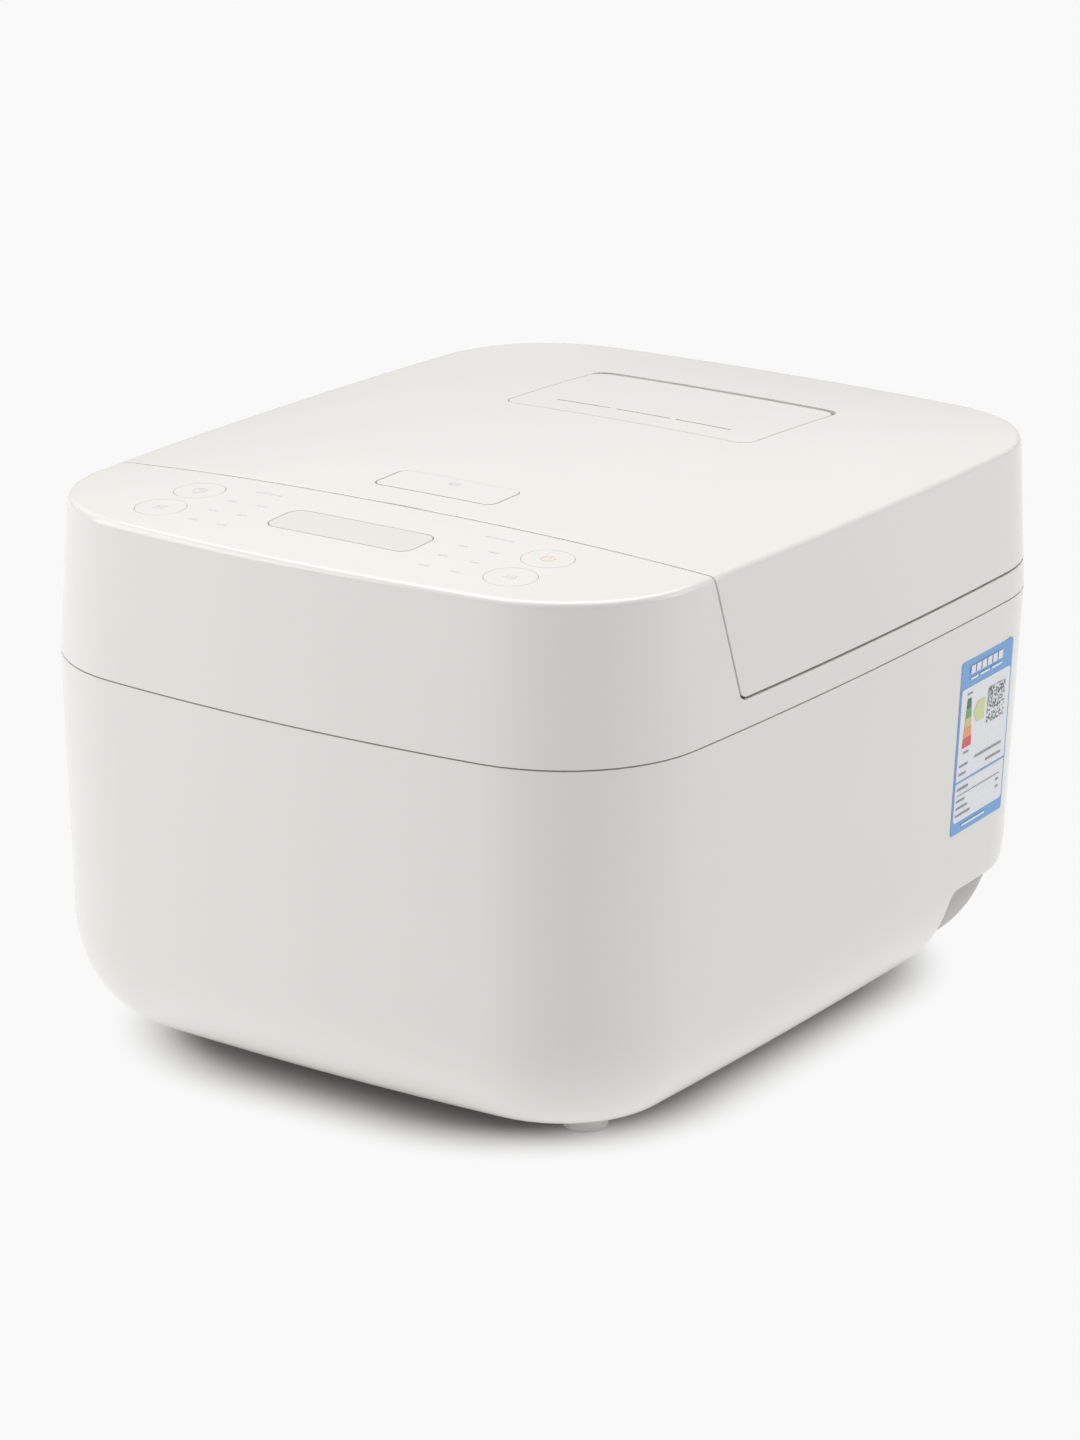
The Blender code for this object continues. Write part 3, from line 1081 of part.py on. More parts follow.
# ---------------------------------------------------------------- lid release flap and latch
def make_flap():
    flap = rounded_block("lid_release_flap", -FLAP_HALF_WIDTH + FLAP_SLIT, FLAP_HALF_WIDTH - FLAP_SLIT,
                         FLAP_FRONT_Y + FLAP_SLIT, FLAP_REAR_Y - GAP, FLAP_CORNER - FLAP_SLIT,
                         FLAP_PIVOT_Z - FLAP_THICKNESS / 2, HIGH, WHITE_GLOSS)
    boolean(flap, outer_form, "INTERSECT")
    rib = box("flap_rib", (-HOOK_WIDTH / 3, HOOK_ARM_Y - 0.001, HOOK_ARM_Z + GAP),
              (HOOK_WIDTH / 3, HOOK_ARM_Y + 0.001, FLAP_PIVOT_Z), cutter=True)
    boolean(flap, rib, "UNION")
    hang(flap, flap_axis, FLAP_PLACE)
    return flap


make_flap()


def make_hook():
    """Rocker under the flap: pressing the arm down swings the leg and its nose back."""
    leg_front = HOOK_LEG_Y - HOOK_LEG_THICKNESS / 2
    leg_rear = HOOK_LEG_Y + HOOK_LEG_THICKNESS / 2
    foot_z = LID_EDGE_Z - HOOK_REACH_BELOW_LID
    boss_rear = LATCH_PIVOT_Y + HOOK_BOSS_REAR
    arm_front = HOOK_ARM_Y - HOOK_ARM_TIP
    points = [(leg_front - HOOK_NOSE, foot_z), (leg_rear, foot_z), (leg_rear, LATCH_PIVOT_Z - HOOK_GUSSET_DROP),
              (LATCH_PIVOT_Y, LATCH_PIVOT_Z - HOOK_BOSS_DROP), (boss_rear, LATCH_PIVOT_Z - HOOK_BOSS_CHAMFER),
              (boss_rear, LATCH_PIVOT_Z + HOOK_BOSS_RISE - HOOK_BOSS_CHAMFER),
              (LATCH_PIVOT_Y, LATCH_PIVOT_Z + HOOK_BOSS_RISE), (arm_front, HOOK_ARM_Z),
              (arm_front, HOOK_ARM_Z - HOOK_ARM_THICKNESS), (leg_front, LATCH_PIVOT_Z - HOOK_ELBOW_DROP),
              (leg_front, foot_z + HOOK_NOSE_ROOT), (leg_front - HOOK_NOSE, foot_z + HOOK_NOSE_HEIGHT)]
    hook = extruded("latch_hook", points, HOOK_WIDTH / 2, GREY_PLASTIC)
    boolean(hook, cylinder("hook_bore", LATCH_PIN_RADIUS + BORE_CLEARANCE,
                           (-HOOK_WIDTH, LATCH_PIVOT_Y, LATCH_PIVOT_Z), 2 * HOOK_WIDTH, cutter=True, axis="X",
                           segments=12))
    hang(hook, latch_axis, LATCH_PLACE)
    return hook


make_hook()
pin_reach = HOOK_WIDTH / 2 + EAR_CLEARANCE + EAR_THICKNESS + GAP
latch_pin = cylinder("latch_pin", LATCH_PIN_RADIUS, (-pin_reach, LATCH_PIVOT_Y, LATCH_PIVOT_Z), 2 * pin_reach,
                     STEEL, axis="X", segments=12)
hang(latch_pin, lid_axis, HINGE_PLACE)
latch_spring = coil("latch_spring", LATCH_SPRING_COIL, LATCH_SPRING_WIRE,
                    (HOOK_WIDTH / 2 + LATCH_SPRING_GAP, LATCH_PIVOT_Y, LATCH_PIVOT_Z), 3,
                    LATCH_SPRING_LENGTH, STEEL, axis="X")
hang(latch_spring, lid_axis, HINGE_PLACE)


# ---------------------------------------------------------------- steam vent
def make_vent_cap():
    low_x = -VENT_HALF_WIDTH + VENT_CLEARANCE
    front = VENT_FRONT_Y + VENT_CLEARANCE
    rear = VENT_REAR_Y - VENT_GRIP_GAP
    low_z = RIM_Z - CAP_SKIRT
    cap = rounded_block("steam_vent_cap", low_x, -low_x, front, rear, VENT_CORNER - VENT_CLEARANCE, low_z,
                        HIGH, WHITE_GLOSS)
    boolean(cap, outer_form, "INTERSECT")
    roof = min(top_height(0, rear), top_height(VENT_HALF_WIDTH, front), top_height(VENT_HALF_WIDTH, rear))
    hollow = rounded_block("cap_hollow", low_x + CAP_THICKNESS, -low_x - CAP_THICKNESS, front + CAP_THICKNESS,
                           rear - CAP_THICKNESS, VENT_CORNER - VENT_CLEARANCE - CAP_THICKNESS, low_z - WALL,
                           roof - CAP_THICKNESS, cutter=True)
    boolean(cap, hollow)
    for number in (-1, 0, 1):
        middle = number * STEAM_SLIT_PITCH
        slit = box(f"steam_slit_{number + 2}", (middle - STEAM_SLIT_LENGTH / 2, STEAM_SLIT_Y, low_z),
                   (middle + STEAM_SLIT_LENGTH / 2, STEAM_SLIT_Y + STEAM_SLIT_WIDTH, HIGH), cutter=True)
        boolean(cap, slit)
    hang(cap, lid_axis, HINGE_PLACE)
    return cap


make_vent_cap()


def make_vent_cup():
    """Tub under the cap that catches the drips, with the steam tube down to the inner plate."""
    side = VENT_HALF_WIDTH + CUP_WALL + GAP
    front = VENT_FRONT_Y - CUP_WALL - GAP
    rear = VENT_REAR_Y + CUP_WALL + GAP
    floor_z = RIM_Z - CUP_DEPTH
    edge_z = min(top_height(side, rear), top_height(side, front)) - WALL - 2 * GAP
    outer = (-side, side, front, rear, VENT_CORNER + CUP_WALL)
    inner = (-side + CUP_WALL, side - CUP_WALL, front + CUP_WALL, rear - CUP_WALL, VENT_CORNER)
    rings = [rounded_rectangle(*outer, floor_z), rounded_rectangle(*outer, edge_z),
             rounded_rectangle(*inner, edge_z), rounded_rectangle(*inner, floor_z + CUP_WALL)]
    cup = loft("steam_vent_cup", rings, WHITE_SATIN)
    tube_low = LINING_Z + GAP
    boolean(cup, cylinder("steam_tube", STEAM_TUBE_RADIUS, (0, STEAM_TUBE_Y, tube_low),
                          floor_z + CUP_WALL / 2 - tube_low, cutter=True), "UNION")
    boolean(cup, cylinder("steam_tube_bore", STEAM_TUBE_RADIUS - STEAM_TUBE_WALL, (0, STEAM_TUBE_Y, 0),
                          floor_z + 2 * CUP_WALL, cutter=True))
    hang(cup, lid_axis, HINGE_PLACE)
    return cup


make_vent_cup()
seal_z = LINING_Z + LINING_THICKNESS + GAP
seal_inner = STEAM_TUBE_RADIUS + GAP
vent_gasket = turned("vent_gasket",
                     [(seal_inner, seal_z + 0.003), (seal_inner + 0.003, seal_z + 0.003),
                      (seal_inner + 0.003, seal_z), (seal_inner, seal_z)],
                     (0, STEAM_TUBE_Y, 0), SILICONE, segments=SMALL_SEGMENTS, ring=True)
hang(vent_gasket, lid_axis, HINGE_PLACE)


# ---------------------------------------------------------------- inlet and power supply
def make_inlet():
    half_bezel = [size / 2 for size in INLET_BEZEL]
    half_body = [size / 2 for size in INLET_BODY]
    half_cavity = [size / 2 for size in INLET_CAVITY]
    socket = box("inlet_socket", (-half_bezel[0], GAP, -half_bezel[2]),
                 (half_bezel[0], GAP + INLET_BEZEL[1], half_bezel[2]), DARK_PLASTIC)
    socket.parent = inlet_frame
    block = box("inlet_block", (-half_body[0], -INLET_BODY[1], -half_body[2]),
                (half_body[0], GAP + INLET_BEZEL[1] / 2, half_body[2]), cutter=True)
    cavity = box("inlet_cavity", (-half_cavity[0], GAP + INLET_BEZEL[1] - INLET_CAVITY[1], -half_cavity[2]),
                 (half_cavity[0], INLET_BODY[1], half_cavity[2]), cutter=True)
    for tool, operation in ((block, "UNION"), (cavity, "DIFFERENCE")):
        tool.parent = inlet_frame
        boolean(socket, tool, operation)
    floor_y = GAP + INLET_BEZEL[1] - INLET_CAVITY[1] + GAP
    places = (("live", -INLET_PIN_SPREAD, -INLET_PIN_OFFSET / 2),
              ("neutral", INLET_PIN_SPREAD, -INLET_PIN_OFFSET / 2), ("earth", 0, INLET_PIN_OFFSET))
    for name, x, z in places:
        pin = box(f"inlet_pin_{name}", (x - INLET_PIN[0] / 2, floor_y, z - INLET_PIN[2] / 2),
                  (x + INLET_PIN[0] / 2, floor_y + INLET_PIN[1], z + INLET_PIN[2] / 2), BRASS)
        pin.parent = inlet_frame


make_inlet()

board_half = [size / 2 for size in POWER_BOARD_SIZE]
board_low = UNDERSIDE_Z + POWER_BOARD_RISE
box("power_board", (-board_half[0], POWER_BOARD_Y - board_half[1], board_low),
    (board_half[0], POWER_BOARD_Y + board_half[1], board_low + POWER_BOARD_SIZE[2]), CIRCUIT_BOARD)
part_front = POWER_BOARD_Y - board_half[1] - GAP
for name, size, place, material in (("transformer", TRANSFORMER_SIZE, TRANSFORMER_AT, FOIL_BLANKET),
                                    ("relay", RELAY_SIZE, RELAY_AT, BLUE_LEAD)):
    box(name, (place[0] - size[0] / 2, part_front - size[1], board_low + place[1]),
        (place[0] + size[0] / 2, part_front, board_low + place[1] + size[2]), material)
capacitor = cylinder("filter_capacitor", CAPACITOR_RADIUS, (0, 0, 0), CAPACITOR_LENGTH, DARK_PLASTIC)
capacitor.location = (CAPACITOR_AT[0], part_front, board_low + CAPACITOR_AT[1])
capacitor.rotation_euler.x = math.radians(90)


def make_lead(name, start_x, rise, material):
    """A lead inside the shell, from the inlet along the left wall to the power board."""
    z = UNDERSIDE_Z + rise
    behind_inlet = INLET_PLACE[1] - INLET_BODY[1] - 0.0035
    route = [(start_x, behind_inlet, INLET_Z), (start_x - 0.005, 0.1315, INLET_Z - 0.010),
             (-0.066, 0.128, z + 0.006), (-0.078, 0.1225, z), (-0.089, 0.112, z), (-0.100, 0.092, z),
             (-0.107, 0.064, z), (-0.1095, 0.036, z), (-0.107, 0.006, z), (-0.098, -0.024, z),
             (-0.084, -0.050, z), (-0.066, -0.074, z), (start_x + 0.008, POWER_BOARD_Y + 0.0045, z)]
    curve = bpy.data.curves.new(name, "CURVE")
    curve.dimensions = "3D"
    curve.bevel_depth = LEAD_RADIUS
    curve.bevel_resolution = 2
    curve.use_fill_caps = True
    spline = curve.splines.new("POLY")
    smooth = smooth_route(route, 2)
    spline.points.add(len(smooth) - 1)
    for point, place in zip(spline.points, smooth):
        point.co = (*place, 1)
    curve.materials.append(material)
    PIECES.objects.link(bpy.data.objects.new(name, curve))


def smooth_route(route, steps):
    """Points on the smooth curve through a route's own points."""
    places = [Vector(route[0])] + [Vector(point) for point in route] + [Vector(route[-1])]
    result = []
    for a, b, c, d in zip(places, places[1:], places[2:], places[3:]):
        for i in range(steps):
            t = i / steps
            result.append(0.5 * ((2 * b) + (c - a) * t + (2 * a - 5 * b + 4 * c - d) * t ** 2
                                 + (3 * b - a - 3 * c + d) * t ** 3))
    result.append(Vector(route[-1]))
    return result


make_lead("live_lead", INLET_X - INLET_PIN_SPREAD, 0.030, RED_LEAD)
make_lead("neutral_lead", INLET_X + INLET_PIN_SPREAD, 0.025, BLUE_LEAD)


# ---------------------------------------------------------------- label on the right side
def make_label():
    columns = 4
    bm = bmesh.new()
    top = SEAM_Z - LABEL_TOP_DROP
    grid = []
    for z in (top, top - LABEL_HEIGHT):
        line = []
        for column in range(columns + 1):
            y = LABEL_FRONT_Y + (LABEL_REAR_Y - LABEL_FRONT_Y) * column / columns
            line.append(bm.verts.new((side_surface(y, z) + GAP, y, z)))
        grid.append(line)
    for upper, lower in zip(grid, grid[1:]):
        for i in range(columns):
            bm.faces.new((lower[i], lower[i + 1], upper[i + 1], upper[i]))
    label = add_piece("energy_label", mesh_from(bm, "energy_label"), PAPER_LABEL)
    solidify = label.modifiers.new("thickness", "SOLIDIFY")
    solidify.thickness = LABEL_THICKNESS
    solidify.offset = 1
    return label


make_label()
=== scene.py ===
"""Rice cooker: the looks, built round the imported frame.

Runs from top to bottom, piece by piece in the order the cooker is put together.
"""
import json
import math

import bmesh
import bpy
from mathutils import Matrix, Vector


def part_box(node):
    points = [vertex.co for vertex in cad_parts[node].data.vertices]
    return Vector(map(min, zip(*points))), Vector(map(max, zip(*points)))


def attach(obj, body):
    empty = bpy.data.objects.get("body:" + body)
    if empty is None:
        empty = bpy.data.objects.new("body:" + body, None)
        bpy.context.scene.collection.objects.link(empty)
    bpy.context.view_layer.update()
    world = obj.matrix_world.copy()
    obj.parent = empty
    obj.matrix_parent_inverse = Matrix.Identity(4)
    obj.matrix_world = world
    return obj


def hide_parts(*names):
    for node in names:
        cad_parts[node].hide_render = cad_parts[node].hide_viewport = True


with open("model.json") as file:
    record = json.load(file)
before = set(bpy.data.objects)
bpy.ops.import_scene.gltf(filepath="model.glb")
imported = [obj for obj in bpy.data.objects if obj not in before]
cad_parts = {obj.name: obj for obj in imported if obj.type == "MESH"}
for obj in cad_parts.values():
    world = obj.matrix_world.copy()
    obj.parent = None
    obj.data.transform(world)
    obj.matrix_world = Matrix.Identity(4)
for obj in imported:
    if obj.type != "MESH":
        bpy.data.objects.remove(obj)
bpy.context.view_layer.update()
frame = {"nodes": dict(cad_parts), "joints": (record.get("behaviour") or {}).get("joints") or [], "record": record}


# ---------------------------------------------------------------- camera
# A long lens a metre and a half away, a little above the lid, so the verticals stay nearly parallel.
# The angles are those of the view: turned 33.6 degrees to the right and looking down 18.
def mm(value):
    return value / 1000


seam_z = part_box("outer_body")[1].z
turn, tip, roll = math.radians(33.60), math.radians(17.96), math.radians(0.69)
forward = Vector((-math.sin(turn) * math.cos(tip), math.cos(turn) * math.cos(tip), -math.sin(tip)))
level = Vector((math.cos(turn), math.sin(turn), 0))
upright = level.cross(forward)
camera_right = level * math.cos(roll) + upright * math.sin(roll)
camera_up = upright * math.cos(roll) - level * math.sin(roll)
camera = bpy.data.objects.new("camera", bpy.data.cameras.new("camera"))
camera.data.sensor_width = 36
camera.data.lens = 122.1
camera.data.clip_end = 60
camera.matrix_world = Matrix((
    (camera_right.x, camera_up.x, -forward.x, mm(914.8)),
    (camera_right.y, camera_up.y, -forward.y, mm(-1385.0)),
    (camera_right.z, camera_up.z, -forward.z, mm(497.4) + seam_z),
    (0, 0, 0, 1)))
bpy.context.scene.collection.objects.link(camera)
bpy.context.scene.camera = camera
bpy.context.scene.view_settings.view_transform = "Standard"


# ---------------------------------------------------------------- studio
# A white floor that glows evenly at the background's brightness everywhere but round the cooker. There it fades
# into a diffuse grey that the lamps light, darker in its colour as a painted shadow: full out to 64 mm from a
# rounded box under the body and gone by 99 mm. An evenly bright white room and three big diffused lamps: overhead,
# low at the left and behind at the right.
def linear(colour):
    """A hex colour as it is seen, turned to the linear values that the shaders work in."""
    values = [int(colour[i:i + 2], 16) / 255 for i in (1, 3, 5)]
    return (*(v / 12.92 if v <= 0.04045 else ((v + 0.055) / 1.055) ** 2.4 for v in values), 1.0)


def add_node(material, kind, inputs=None, **settings):
    """A shader node with its settings. An input that is given a socket is linked, any other is set."""
    tree = material.node_tree
    node = tree.nodes.new(kind)
    for name, value in settings.items():
        setattr(node, name, value)
    for name, value in (inputs or {}).items():
        if isinstance(value, bpy.types.NodeSocket):
            tree.links.new(value, node.inputs[name])
        else:
            node.inputs[name].default_value = value
    return node


def new_material(name):
    """An empty material, and the place of each point on the piece at rest, in metres."""
    material = bpy.data.materials.new(name)
    material.use_nodes = True
    material.node_tree.nodes.clear()
    place = add_node(material, "ShaderNodeTexCoord").outputs["Object"]
    return material, place


def finish_material(material, shader):
    add_node(material, "ShaderNodeOutputMaterial", {"Surface": shader.outputs[0]})
    return material


BACKGROUND = "#f9f9f9"
# Where the painted shadow falls: a rounded box about the cooker's footprint, with the distances from it at which
# the painted shadow is full and at which it is gone.
shade_middle, shade_half = (mm(-2), mm(-4), 0), (mm(28), mm(58), 1)
shade_full, shade_none = mm(64), mm(99)
shadow_painted_floor, painted_shadow_place = new_material("floor_with_painted_shadow")
reach = add_node(shadow_painted_floor, "ShaderNodeVectorMath", {0: painted_shadow_place, 1: shade_middle}, operation="SUBTRACT")
reach = add_node(shadow_painted_floor, "ShaderNodeVectorMath", {0: reach.outputs[0]}, operation="ABSOLUTE")
reach = add_node(shadow_painted_floor, "ShaderNodeVectorMath", {0: reach.outputs[0], 1: shade_half}, operation="SUBTRACT")
reach = add_node(shadow_painted_floor, "ShaderNodeVectorMath", {0: reach.outputs[0], 1: (0, 0, 0)}, operation="MAXIMUM")
reach = add_node(shadow_painted_floor, "ShaderNodeVectorMath", {0: reach.outputs[0]}, operation="LENGTH")
painted_shadow_fade = add_node(shadow_painted_floor, "ShaderNodeMapRange",
                     {"Value": reach.outputs["Value"], "From Min": shade_full, "From Max": shade_none},
                     interpolation_type="SMOOTHSTEP")
# Near the cooker the floor is a darker diffuse grey, which is painted shade; further out it glows at the
# background's colour.
painted_shadow_grey = add_node(shadow_painted_floor, "ShaderNodeBsdfDiffuse", {"Color": linear("#d6d4d1")})
paper_glow = add_node(shadow_painted_floor, "ShaderNodeEmission", {"Color": linear(BACKGROUND), "Strength": 1.0})
finish_material(shadow_painted_floor, add_node(shadow_painted_floor, "ShaderNodeMixShader",
                                {0: painted_shadow_fade.outputs["Result"], 1: painted_shadow_grey.outputs[0],
                                 2: paper_glow.outputs[0]}))
bpy.ops.mesh.primitive_circle_add(vertices=96, radius=8, fill_type="NGON", location=(0, 0, mm(-0.2)))
floor = bpy.context.object
floor.name = "floor"
floor.data.materials.append(shadow_painted_floor)

room = bpy.data.worlds.new("room")
room.use_nodes = True
room.node_tree.nodes.clear()
room_rays = add_node(room, "ShaderNodeLightPath").outputs["Is Camera Ray"]
room_seen = add_node(room, "ShaderNodeBackground", {"Color": linear(BACKGROUND), "Strength": 1.0})
room_light = add_node(room, "ShaderNodeBackground", {"Color": linear("#fbfbfd"), "Strength": 0.36})
room_mix = add_node(room, "ShaderNodeMixShader",
                    {0: room_rays, 1: room_light.outputs[0], 2: room_seen.outputs[0]})
add_node(room, "ShaderNodeOutputWorld", {"Surface": room_mix.outputs[0]})
bpy.context.scene.world = room


def lamp(name, place, aim, width, height, power, colour="#ffffff"):
    """A diffused rectangular lamp that points at a place."""
    data = bpy.data.lights.new(name, "AREA")
    data.shape = "RECTANGLE"
    data.size, data.size_y = width, height
    data.energy = power
    data.color = linear(colour)[:3]
    light = bpy.data.objects.new(name, data)
    light.location = place
    light.rotation_euler = (Vector(aim) - Vector(place)).to_track_quat("-Z", "Y").to_euler()
    light.visible_camera = False
    bpy.context.scene.collection.objects.link(light)


lamp("overhead_lamp", (-0.2, 0.4, 2.2), (0, 0, 0), 2.6, 2.6, 54)
lamp("left_lamp", (-1.9, -1.5, 0.9), (0, 0, 0.1), 1.6, 1.8, 25)
lamp("rear_right_lamp", (2.0, 1.2, 0.8), (0, 0, 0.1), 1.4, 1.2, 8)


# ---------------------------------------------------------------- white gloss ABS
# Injection-moulded ABS from a polished tool: a warm white, a clear sharp reflection with a faint
# orange peel about 1.4 mm across, and a very slight unevenness of gloss from handling.
def moulded_plastic(name, colour, shade, roughness, peel, peel_depth, ior=1.54):
    """Moulded plastic: two near colours in flow patches 60 mm wide, uneven gloss, and the tool's texture."""
    material, place = new_material(name)
    flow = add_node(material, "ShaderNodeTexNoise", {"Vector": place, "Scale": 1 / mm(60), "Detail": 2.0})
    tint = add_node(material, "ShaderNodeMix", {0: flow.outputs[0], 6: linear(colour), 7: linear(shade)},
                    data_type="RGBA")
    touched = add_node(material, "ShaderNodeTexNoise", {"Vector": place, "Scale": 1 / mm(18), "Detail": 3.0})
    gloss = add_node(material, "ShaderNodeMapRange",
                     {"Value": touched.outputs[0], "From Min": 0.3, "From Max": 0.7,
                      "To Min": roughness * 0.85, "To Max": roughness * 1.2})
    texture = add_node(material, "ShaderNodeTexNoise", {"Vector": place, "Scale": 1 / mm(peel), "Detail": 1.0})
    relief = add_node(material, "ShaderNodeBump",
                      {"Height": texture.outputs[0], "Strength": 1.0, "Distance": mm(peel_depth)})
    shader = add_node(material, "ShaderNodeBsdfPrincipled",
                      {"Base Color": tint.outputs[2], "Roughness": gloss.outputs[0],
                       "Normal": relief.outputs[0], "IOR": ior})
    return finish_material(material, shader)


white_gloss_abs = moulded_plastic("white_gloss_abs", "#e9e7e2", "#e7e5e0", 0.10, 1.4, 0.0016)


# ---------------------------------------------------------------- outer body
# The deep lower shell, one moulding 2.5 mm thick. Its walls lean in towards the table and turn under
# in a big rounding. The rear bottom is cut away over the base, and screw posts stand inside.
body_low, body_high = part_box("outer_body")
half_width, half_depth = body_high.x, body_high.y
wall = mm(2.5)
front_radius, rear_radius, side_radius = mm(709.5), mm(983), mm(2281)
front_corner, rear_corner = mm(54.9), mm(54.6)


def bulged_outline(width, depth, front, rear, side, near_corner, far_corner, steps=12):
    """The plan shape at one level: four large arcs with tangent corner arcs, from the front centre."""
    side_centre = Vector((width - side, 0))

    def corner(end_centre, end_radius, corner_radius):
        """Centre of the arc that is tangent to an end arc and the right side arc, and both meeting points."""
        between = end_centre - side_centre
        to_side, to_end = side - corner_radius, end_radius - corner_radius
        along = (between.length_squared + to_side ** 2 - to_end ** 2) / (2 * between.length)
        across = math.sqrt(to_side ** 2 - along ** 2)
        unit = between.normalized()
        sideways = Vector((-unit.y, unit.x)) * across
        centre = max(side_centre + unit * along + sideways, side_centre + unit * along - sideways,
                     key=lambda point: point.x)
        return (centre, centre + (centre - end_centre).normalized() * corner_radius,
                centre + (centre - side_centre).normalized() * corner_radius)

    def sweep(centre, start, end):
        first = math.atan2(start.y - centre.y, start.x - centre.x)
        last = math.atan2(end.y - centre.y, end.x - centre.x)
        radius = (start - centre).length
        for i in range(steps):
            angle = first + (last - first) * i / steps
            yield centre.x + radius * math.cos(angle), centre.y + radius * math.sin(angle)

    front_centre, rear_centre = Vector((0, front - depth)), Vector((0, depth - rear))
    near_centre, near_front, near_side = corner(front_centre, front, near_corner)
    far_centre, far_rear, far_side = corner(rear_centre, rear, far_corner)
    widest = Vector((width, 0))
    right = [*sweep(front_centre, Vector((0, -depth)), near_front),
             *sweep(near_centre, near_front, near_side),
             *sweep(side_centre, near_side, widest),
             *sweep(side_centre, widest, far_side),
             *sweep(far_centre, far_side, far_rear),
             *sweep(rear_centre, far_rear, Vector((0, depth))), (0, depth)]
    return right + [(-x, y) for x, y in right[-2:0:-1]]


def level_outline(inset, steps=12):
    """The outline at the seam, moved in by the same amount all round."""
    return bulged_outline(half_width - inset, half_depth - inset, front_radius - inset, rear_radius - inset,
                          side_radius - inset, front_corner - inset, rear_corner - inset, steps)


def skin(name, rings, closed=False, peak=None):
    """A closed shell through equal rings, lowest first. The ends are capped, or the last joins the first."""
    work = bmesh.new()
    rows = [[work.verts.new(point) for point in ring] for ring in rings]
    count = len(rows[0])
    for lower, upper in list(zip(rows, rows[1:])) + ([(rows[-1], rows[0])] if closed else []):
        for i in range(count):
            j = (i + 1) % count
            work.faces.new((lower[i], lower[j], upper[j], upper[i]))
    if not closed:
        work.faces.new(rows[0][::-1])
        if peak is None:
            work.faces.new(rows[-1])
        else:
            tip = work.verts.new(peak)
            for i in range(count):
                work.faces.new((rows[-1][i], rows[-1][(i + 1) % count], tip))
    return from_bmesh(name, work)


def from_bmesh(name, work):
    mesh = bpy.data.meshes.new(name)
    work.to_mesh(mesh)
    work.free()
    piece = bpy.data.objects.new(name, mesh)
    bpy.context.scene.collection.objects.link(piece)
    return piece


def block(name, low, high):
    work = bmesh.new()
    bmesh.ops.create_cube(work, size=1)
    for vertex in work.verts:
        vertex.co = [low[i] if vertex.co[i] < 0 else high[i] for i in range(3)]
    return from_bmesh(name, work)


def rod(name, radius, start, length, axis="Z", sides=48):
    """A round bar from the centre of one end, along +Z or +X."""
    work = bmesh.new()
    bmesh.ops.create_cone(work, cap_ends=True, segments=sides, radius1=radius, radius2=radius, depth=length)
    for vertex in work.verts:
        x, y, z = vertex.co.x, vertex.co.y, vertex.co.z + length / 2
        vertex.co = Vector(start) + Vector((z, y, -x) if axis == "X" else (x, y, z))
    return from_bmesh(name, work)


def profile_block(name, points, half_span):
    """A side view of (y, z) points, anticlockwise seen from the right, carried across the width."""
    rings = [[(side * half_span, y, z) for y, z in points] for side in (-1, 1)]
    return skin(name, rings)


def arc(centre, radius, start, end, steps=8):
    """Points on an arc, angles in degrees."""
    turns = [math.radians(start + (end - start) * i / steps) for i in range(steps + 1)]
    return [(centre[0] + radius * math.cos(t), centre[1] + radius * math.sin(t)) for t in turns]


def cut(piece, *tools, how="DIFFERENCE"):
    """Cut, join or keep the common part, and throw the tools away."""
    for tool in tools:
        modifier = piece.modifiers.new(how, "BOOLEAN")
        modifier.operation = how
        modifier.solver = "EXACT"
        modifier.object = tool
        changed = bpy.data.meshes.new_from_object(piece.evaluated_get(bpy.context.evaluated_depsgraph_get()))
        piece.modifiers.clear()
        piece.data = changed
        bpy.data.objects.remove(tool, do_unlink=True)
    return piece


def soften(piece, edge, limit=38, segments=2):
    """Round off a piece's sharp edges, before small openings are cut in it."""
    work = bmesh.new()
    work.from_mesh(piece.data)
    bmesh.ops.remove_doubles(work, verts=work.verts, dist=mm(0.03))
    bmesh.ops.dissolve_degenerate(work, edges=work.edges, dist=mm(0.01))
    work.to_mesh(piece.data)
    work.free()
    bevel = piece.modifiers.new("edge", "BEVEL")
    bevel.width = edge
    bevel.segments = segments
    bevel.limit_method = "ANGLE"
    bevel.angle_limit = math.radians(limit)
    bevel.use_clamp_overlap = False
    rounded = bpy.data.meshes.new_from_object(piece.evaluated_get(bpy.context.evaluated_depsgraph_get()))
    piece.modifiers.clear()
    piece.data = rounded
    return piece


def middle_of(node):
    """The middle of a CAD node's box."""
    low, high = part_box(node)
    return Vector(((low.x + high.x) / 2, (low.y + high.y) / 2, (low.z + high.z) / 2))


def dress(piece, material, body, nodes=(), slot=None, limit=32):
    """Shade a piece, give it its material, and let it ride in place of its CAD nodes."""
    mesh = piece.data
    work = bmesh.new()
    work.from_mesh(mesh)
    bmesh.ops.remove_doubles(work, verts=work.verts, dist=mm(0.02))
    work.to_mesh(mesh)
    work.free()
    mesh.shade_smooth()
    mesh.set_sharp_from_angle(angle=math.radians(limit))
    flatten = piece.modifiers.new("normals", "WEIGHTED_NORMAL")
    flatten.keep_sharp = True
    mesh.materials.clear()
    mesh.materials.append(material)
    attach(piece, body)
    if nodes:
        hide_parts(*nodes)
        rows = frame["record"]["subparts"]
        slot = slot or next(row["material_slot"] for row in rows if row["node"] == nodes[0])
    return piece


lean = 0.0367                   # the lower walls come in this much for each metre down
rounding_height = mm(42.8)
rounding_side, rounding_end = mm(26.4), mm(34.6)
underside_corner = mm(30.8)
underside_z = body_low.z


